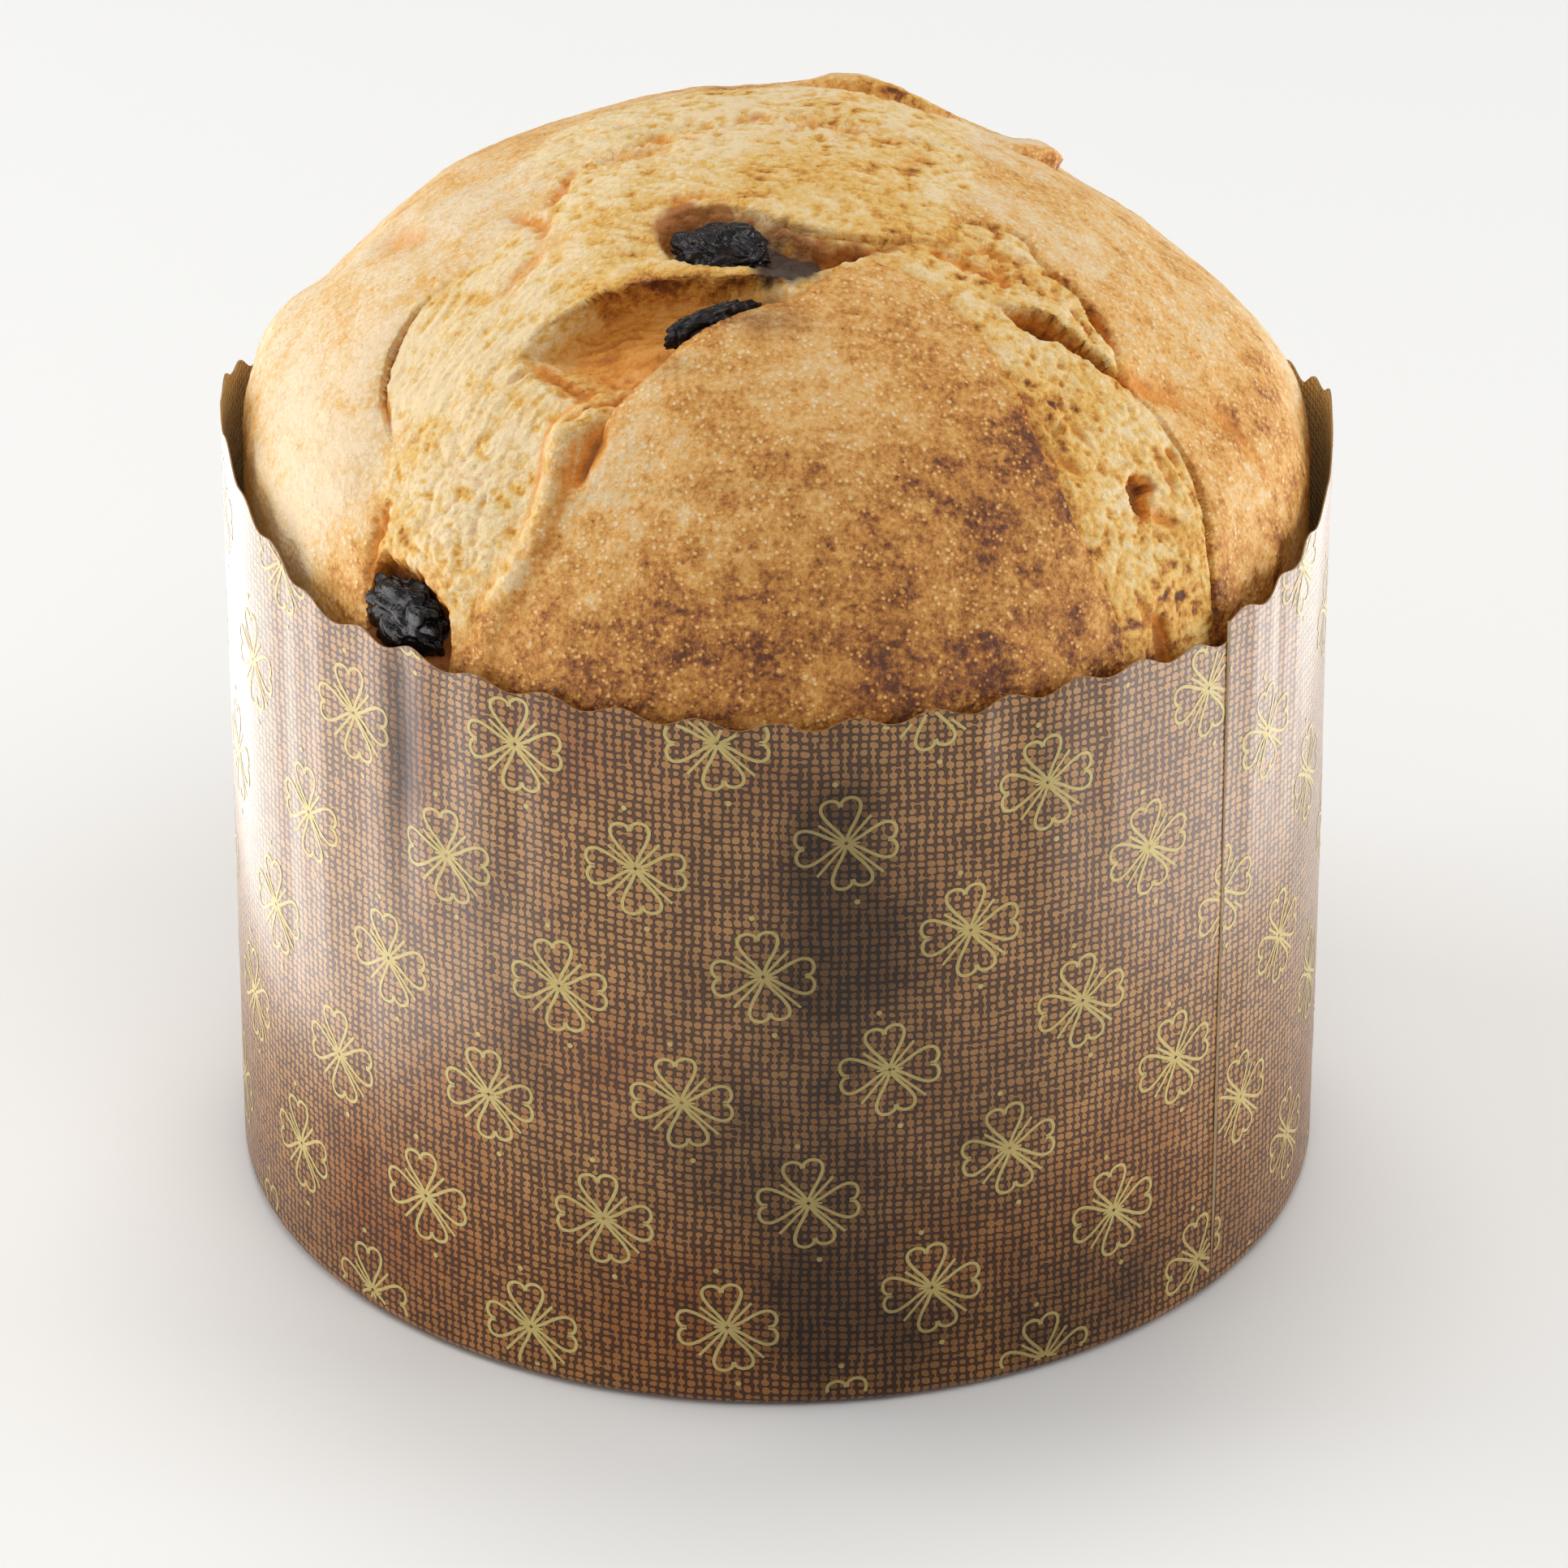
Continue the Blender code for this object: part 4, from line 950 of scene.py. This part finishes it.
def arc_from_front(azimuth):
    """Length along the wall from the front, + to the right."""
    return np.radians((azimuth + 180.0) % 360.0 - 180.0) * CASE_RADIUS


def wall_radius(azimuth, level):
    """Radius of the paper's outer face, with the overlap's step and the soft folds."""
    from_seam = np.radians(azimuth - SEAM_AZIMUTH) * CASE_RADIUS
    overlap = (1.0 - smooth_step(0.0, SEAM_REACH, from_seam)) * smooth_step(0.0, 12.0, level)
    radius = CASE_RADIUS + SEAM_STEP * overlap
    arc = arc_from_front(azimuth)
    for centre, width, push, low, high in FOLDS:
        along = smooth_step(low, low + 0.4 * (high - low), level)
        radius = radius + push * along * np.exp(-((arc - centre) / width) ** 2)
    wave = smooth_noise([azimuth / 9.0, level / 40.0], 81)
    return radius + 0.10 * wave * smooth_step(2.0, 20.0, level)


def wall_points(azimuth, level, inset=0.0):
    radius = wall_radius(azimuth, level) - inset
    angle = np.radians(azimuth)
    return np.stack([radius * np.sin(angle), -radius * np.cos(angle), level], axis=-1)


def stains(azimuth, level):
    """Where fat has soaked the paper, darker and warmer towards the foot as painted shade: dark patches,
    warmer ones, and how glossy the paper is there.
    """
    arc = arc_from_front(azimuth)
    dark = patches(arc, level, DARK_STAINS_AND_SHADE)
    warm_stain_and_shade = patches(arc, level, WARM_STAINS_AND_SHADE)
    noise = flat_noise(arc, level, 7.0, 91)
    # Painted shade: darker and warmer towards the foot
    low = smooth_step(40.0, 0.0, level)
    dark = np.clip(dark + 0.22 * noise * (0.4 + dark) + 0.18 * low, 0.0, 0.9)
    warm_stain_and_shade = np.clip(warm_stain_and_shade + 0.25 * noise * (0.3 + warm_stain_and_shade) + 0.35 * low, 0.0, 0.9)
    gloss = 0.24 + 0.50 * smooth_step(14.0, 48.0, level)
    return dark, warm_stain_and_shade, gloss * (1.0 - 0.85 * dark)


def build_case():
    """The paper wall, its lining and its cut edge, from the foot up to the scalloped rim."""
    azimuth = np.linspace(SEAM_AZIMUTH, SEAM_AZIMUTH + 360.0, WALL_COLUMNS + 1)
    share = np.linspace(0.0, 1.0, WALL_ROWS + 1)
    turn, rows = np.meshgrid(azimuth, share)
    level = FOOT_ROUND + (rim_height(turn) - FOOT_ROUND) * rows
    # Fat stains, with painted shade towards the foot
    dark, warm_stain_and_shade, gloss = stains(turn, level)
    values = dict(arc=arc_from_front(turn), level=level, fat_stain_and_shade=dark, warm_stain_and_shade=warm_stain_and_shade, gloss=gloss)
    seam_column = np.isclose(turn, SEAM_AZIMUTH + 360.0)
    values["arc"] = np.where(seam_column, np.radians(SEAM_AZIMUTH) * CASE_RADIUS, values["arc"])
    outer = wall_points(turn, level)
    inner = wall_points(turn, level, PAPER)
    uv = np.stack([(turn - SEAM_AZIMUTH) / 360.0, rows * 0.45], axis=-1)
    mirrored = {key: value[:, ::-1] for key, value in values.items()}
    pieces = [sheet_mesh("case_wall", outer, None, values, paper_look(), uv)]
    pieces.append(sheet_mesh("case_lining", inner[:, ::-1], None, mirrored, lining_look(), uv[:, ::-1]))
    edge = np.stack([outer[-1], inner[-1]])
    rim_edge = edge_look("rim_edge", linear(172, 132, 84), linear(132, 94, 54))
    pieces.append(sheet_mesh("case_edge", edge, None, {}, rim_edge))
    under_flap = wall_points(turn[:, 0], level[:, 0], SEAM_STEP + 0.1)
    flap = np.stack([outer[:, 0], under_flap])[:, ::-1]
    # The overlap's cut edge has a pale colour, partly the paper's own and partly a painted highlight along
    # the seam
    flap_edge = edge_look("flap_edge", linear(228, 212, 180), linear(200, 172, 128))
    pieces.append(sheet_mesh("case_flap_edge", flap, None, {}, flap_edge))
    foot_turn = np.linspace(0.0, np.pi / 2, 5)
    foot_radius = CASE_RADIUS - FOOT_ROUND * (1.0 - np.cos(foot_turn))
    foot_level = FOOT_ROUND * (1.0 - np.sin(foot_turn))
    foot_radius = np.append(foot_radius, [30.0, 0.2])[::-1, None]
    foot_level = np.append(foot_level, [0.0, 0.0])[::-1, None]
    angle = np.radians(azimuth)[None, :]
    ring = [foot_radius * np.sin(angle), -foot_radius * np.cos(angle), foot_level + 0.0 * angle]
    foot = np.stack(ring, axis=-1)
    foot_turns = np.broadcast_to(azimuth[None, :], foot.shape[:2])
    # Fat stains, with painted shade towards the foot
    dark, warm_stain_and_shade, gloss = stains(foot_turns, foot[..., 2])
    values = dict(arc=arc_from_front(foot_turns), level=foot[..., 2], fat_stain_and_shade=dark, warm_stain_and_shade=warm_stain_and_shade, gloss=gloss)
    pieces.append(sheet_mesh("case_foot", foot, None, values, pieces[0].data.materials[0]))
    for piece in pieces:
        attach(piece, "root")
        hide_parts("paper_case")


def ribbon(path, width):
    """Quads of a flat line of that width along a path, as corner points."""
    path = np.array(path, float)
    run = np.gradient(path, axis=0)
    run /= np.maximum(np.linalg.norm(run, axis=1, keepdims=True), 1e-9)
    across = np.stack([-run[:, 1], run[:, 0]], axis=1) * width / 2
    left = path + across
    right = path - across
    return np.stack([right[:-1], right[1:], left[1:], left[:-1]], axis=1)


def ornament():
    """The quads of one four-leaf ornament around its centre, in millimetres."""
    quads = []
    outline = spline(LEAF_HALF, steps=5)
    for leaf_heading in LEAF_HEADINGS:
        heading = np.radians(leaf_heading)
        for side in (1.0, -1.0):
            path = outline * (1.0, side)
            quads.append(ribbon(np.stack(turned(path[:, 0], path[:, 1], -heading), axis=1), LINE_WIDTH))
    for heading, length in STROKES:
        direction = np.array([np.cos(np.radians(heading)), np.sin(np.radians(heading))])
        stroke = [direction * 0.2, direction * length * 0.6, direction * length]
        quads.append(ribbon(stroke, LINE_WIDTH * 0.85))
    for reach in BARS:
        quads.append(ribbon([(reach * 0.45, 0.0), (reach, 0.0)], LINE_WIDTH * 0.6))
    for side in (1.0, -1.0):
        heading = np.radians(DOT_HEADING)
        centre = side * DOT_DISTANCE * np.array([np.cos(heading), np.sin(heading)])
        turn = np.linspace(0.0, 2 * np.pi, 9)
        ring = centre + DOT_RADIUS * np.stack([np.cos(turn), np.sin(turn)], axis=1)
        for k in range(0, 8, 2):
            quads.append(np.array([[centre, ring[k], ring[k + 1], ring[k + 2]]]))
    return np.vstack(quads)


def build_print():
    """Gold line ornaments on a slanting lattice round the wall, cut off by the rim, the foot and the seam."""
    one = ornament()
    right = np.radians(SEAM_AZIMUTH) * CASE_RADIUS
    left = right - 2 * np.pi * CASE_RADIUS
    start, step_a, step_b, drift = np.array((LATTICE_START, LATTICE_A, LATTICE_B, LATTICE_DRIFT))
    kept = []
    for i in range(-20, 8):
        for j in range(-8, 8):
            for half in (0.0, 0.5):
                centre = start + (i + half) * step_a + (j + half) * step_b
                centre = centre + drift * smooth_step(-75.0, -345.0, centre[0])
                group = one + centre
                kept.append(group[(group[..., 0].min(1) > left + 0.1) & (group[..., 0].max(1) < right - 0.1)])
    quads = np.vstack(kept)
    azimuth = np.degrees(quads[..., 0] / CASE_RADIUS) % 360.0
    azimuth = np.where(azimuth < SEAM_AZIMUTH, azimuth + 360.0, azimuth)
    level = quads[..., 1]
    fits = (level < rim_height(azimuth) - 0.1).all(1) & (level > FOOT_ROUND + 0.1).all(1)
    azimuth = azimuth[fits]
    level = level[fits]
    points = wall_points(azimuth, level, -INK_LIFT)
    # Fat stains, with painted shade towards the foot, for the ink
    dark, _, _ = stains(azimuth, level)
    mesh = bpy.data.meshes.new("gold_print")
    count = len(points)
    mesh.from_pydata([tuple(point) for point in (points.reshape(-1, 3) * MM)], [],
                     [tuple(range(4 * k, 4 * k + 4)) for k in range(count)])
    layer = mesh.attributes.new("fat_stain_and_shade", "FLOAT", "POINT")
    layer.data.foreach_set("value", dark.ravel().astype(np.float32))
    mesh.shade_smooth()
    mesh.materials.append(gold_look())
    piece = add_object("gold_print", mesh)
    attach(piece, "root")


def build_raisins():
    """Wrinkled dried grapes in the dough's pockets."""
    for name, raisin in RAISINS.items():
        ball = bmesh.new()
        bmesh.ops.create_icosphere(ball, subdivisions=RAISIN_DETAIL, radius=1.0)
        mesh = bpy.data.meshes.new(name + "_skin")
        ball.to_mesh(mesh)
        ball.free()
        unit = np.zeros(len(mesh.vertices) * 3)
        mesh.vertices.foreach_get("co", unit)
        unit = unit.reshape(-1, 3)
        seed = raisin["seed"]
        around = np.arctan2(unit[:, 2], unit[:, 1])
        furrow = np.sin(5 * around + seed + 1.6 * np.sin(2.4 * unit[:, 0] + seed))
        dimple = np.sin(4.1 * unit[:, 0] + seed) * np.sin(3.3 * unit[:, 1] - seed)
        dimple = dimple * np.sin(3.7 * unit[:, 2] + 2 * seed)
        size = 1.0 - raisin["wrinkle"] * (0.16 - 0.12 * furrow * (1.0 - unit[:, 0] ** 2) - 0.22 * dimple)
        bend = [solid_noise(unit, 0.8, 90 + seed + axis) for axis in range(3)]
        bent = unit + 0.25 * np.stack(bend, axis=-1)
        creases = np.abs(solid_noise(bent, 0.62, 100 + seed))
        creases = creases + 0.35 * np.abs(solid_noise(bent, 0.28, 110 + seed))
        size = size + 0.34 * (creases - 0.34)
        shaped = unit * size[:, None] * np.array(raisin["half"])
        angle = np.radians(raisin["heading"])
        placed = np.stack([*turned(shaped[:, 0], shaped[:, 1], -angle), shaped[:, 2]], axis=-1)
        mesh.vertices.foreach_set("co", ((placed + np.array(raisin["centre"])) * MM).ravel())
        mesh.shade_smooth()
        mesh.materials.append(raisin_look(*raisin["look"]))
        piece = add_object(name + "_skin", mesh)
        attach(piece, "root")
        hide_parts(name)


def area_light(name, place, aim, size, power, colour):
    data = bpy.data.lights.new(name, "AREA")
    data.shape = "RECTANGLE"
    data.size, data.size_y = size
    data.energy = power
    data.color = colour
    light = add_object(name, data)
    light.location = place
    light.visible_camera = False
    light.rotation_euler = (Vector(aim) - Vector(place)).to_track_quat("-Z", "Y").to_euler()


def build_studio():
    """A pale floor, soft lights and the camera of the photograph."""
    scene = bpy.context.scene
    mesh = bpy.data.meshes.new("floor")
    ground = bmesh.new()
    bmesh.ops.create_grid(ground, x_segments=1, y_segments=1, size=3.0)
    ground.to_mesh(mesh)
    ground.free()
    look = Look("floor", roughness=0.7, specular=0.2)
    look.colour(linear(240, 240, 239))
    mesh.materials.append(look.material)
    floor = add_object("floor", mesh)
    floor.location = (0.0, 0.0, -0.2 * MM)

    world = bpy.data.worlds.new("studio")
    world.use_nodes = True
    world.node_tree.nodes["Background"].inputs["Color"].default_value = (*WHITE, 1.0)
    world.node_tree.nodes["Background"].inputs["Strength"].default_value = WORLD_STRENGTH
    scene.world = world
    scene.view_settings.view_transform = "Standard"

    for name, light in LIGHTS.items():
        area_light(name, *light)

    data = bpy.data.cameras.new("camera")
    data.sensor_width = 36.0
    data.lens = CAMERA_LENS
    data.clip_start = 0.05
    camera = add_object("camera", data)
    camera.location = CAMERA_PLACE
    camera.rotation_euler = (Vector(CAMERA_TARGET) - camera.location).to_track_quat("-Z", "Y").to_euler()
    scene.camera = camera


def main():
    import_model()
    build_studio()
    build_crust()
    build_case()
    build_print()
    build_raisins()


main()
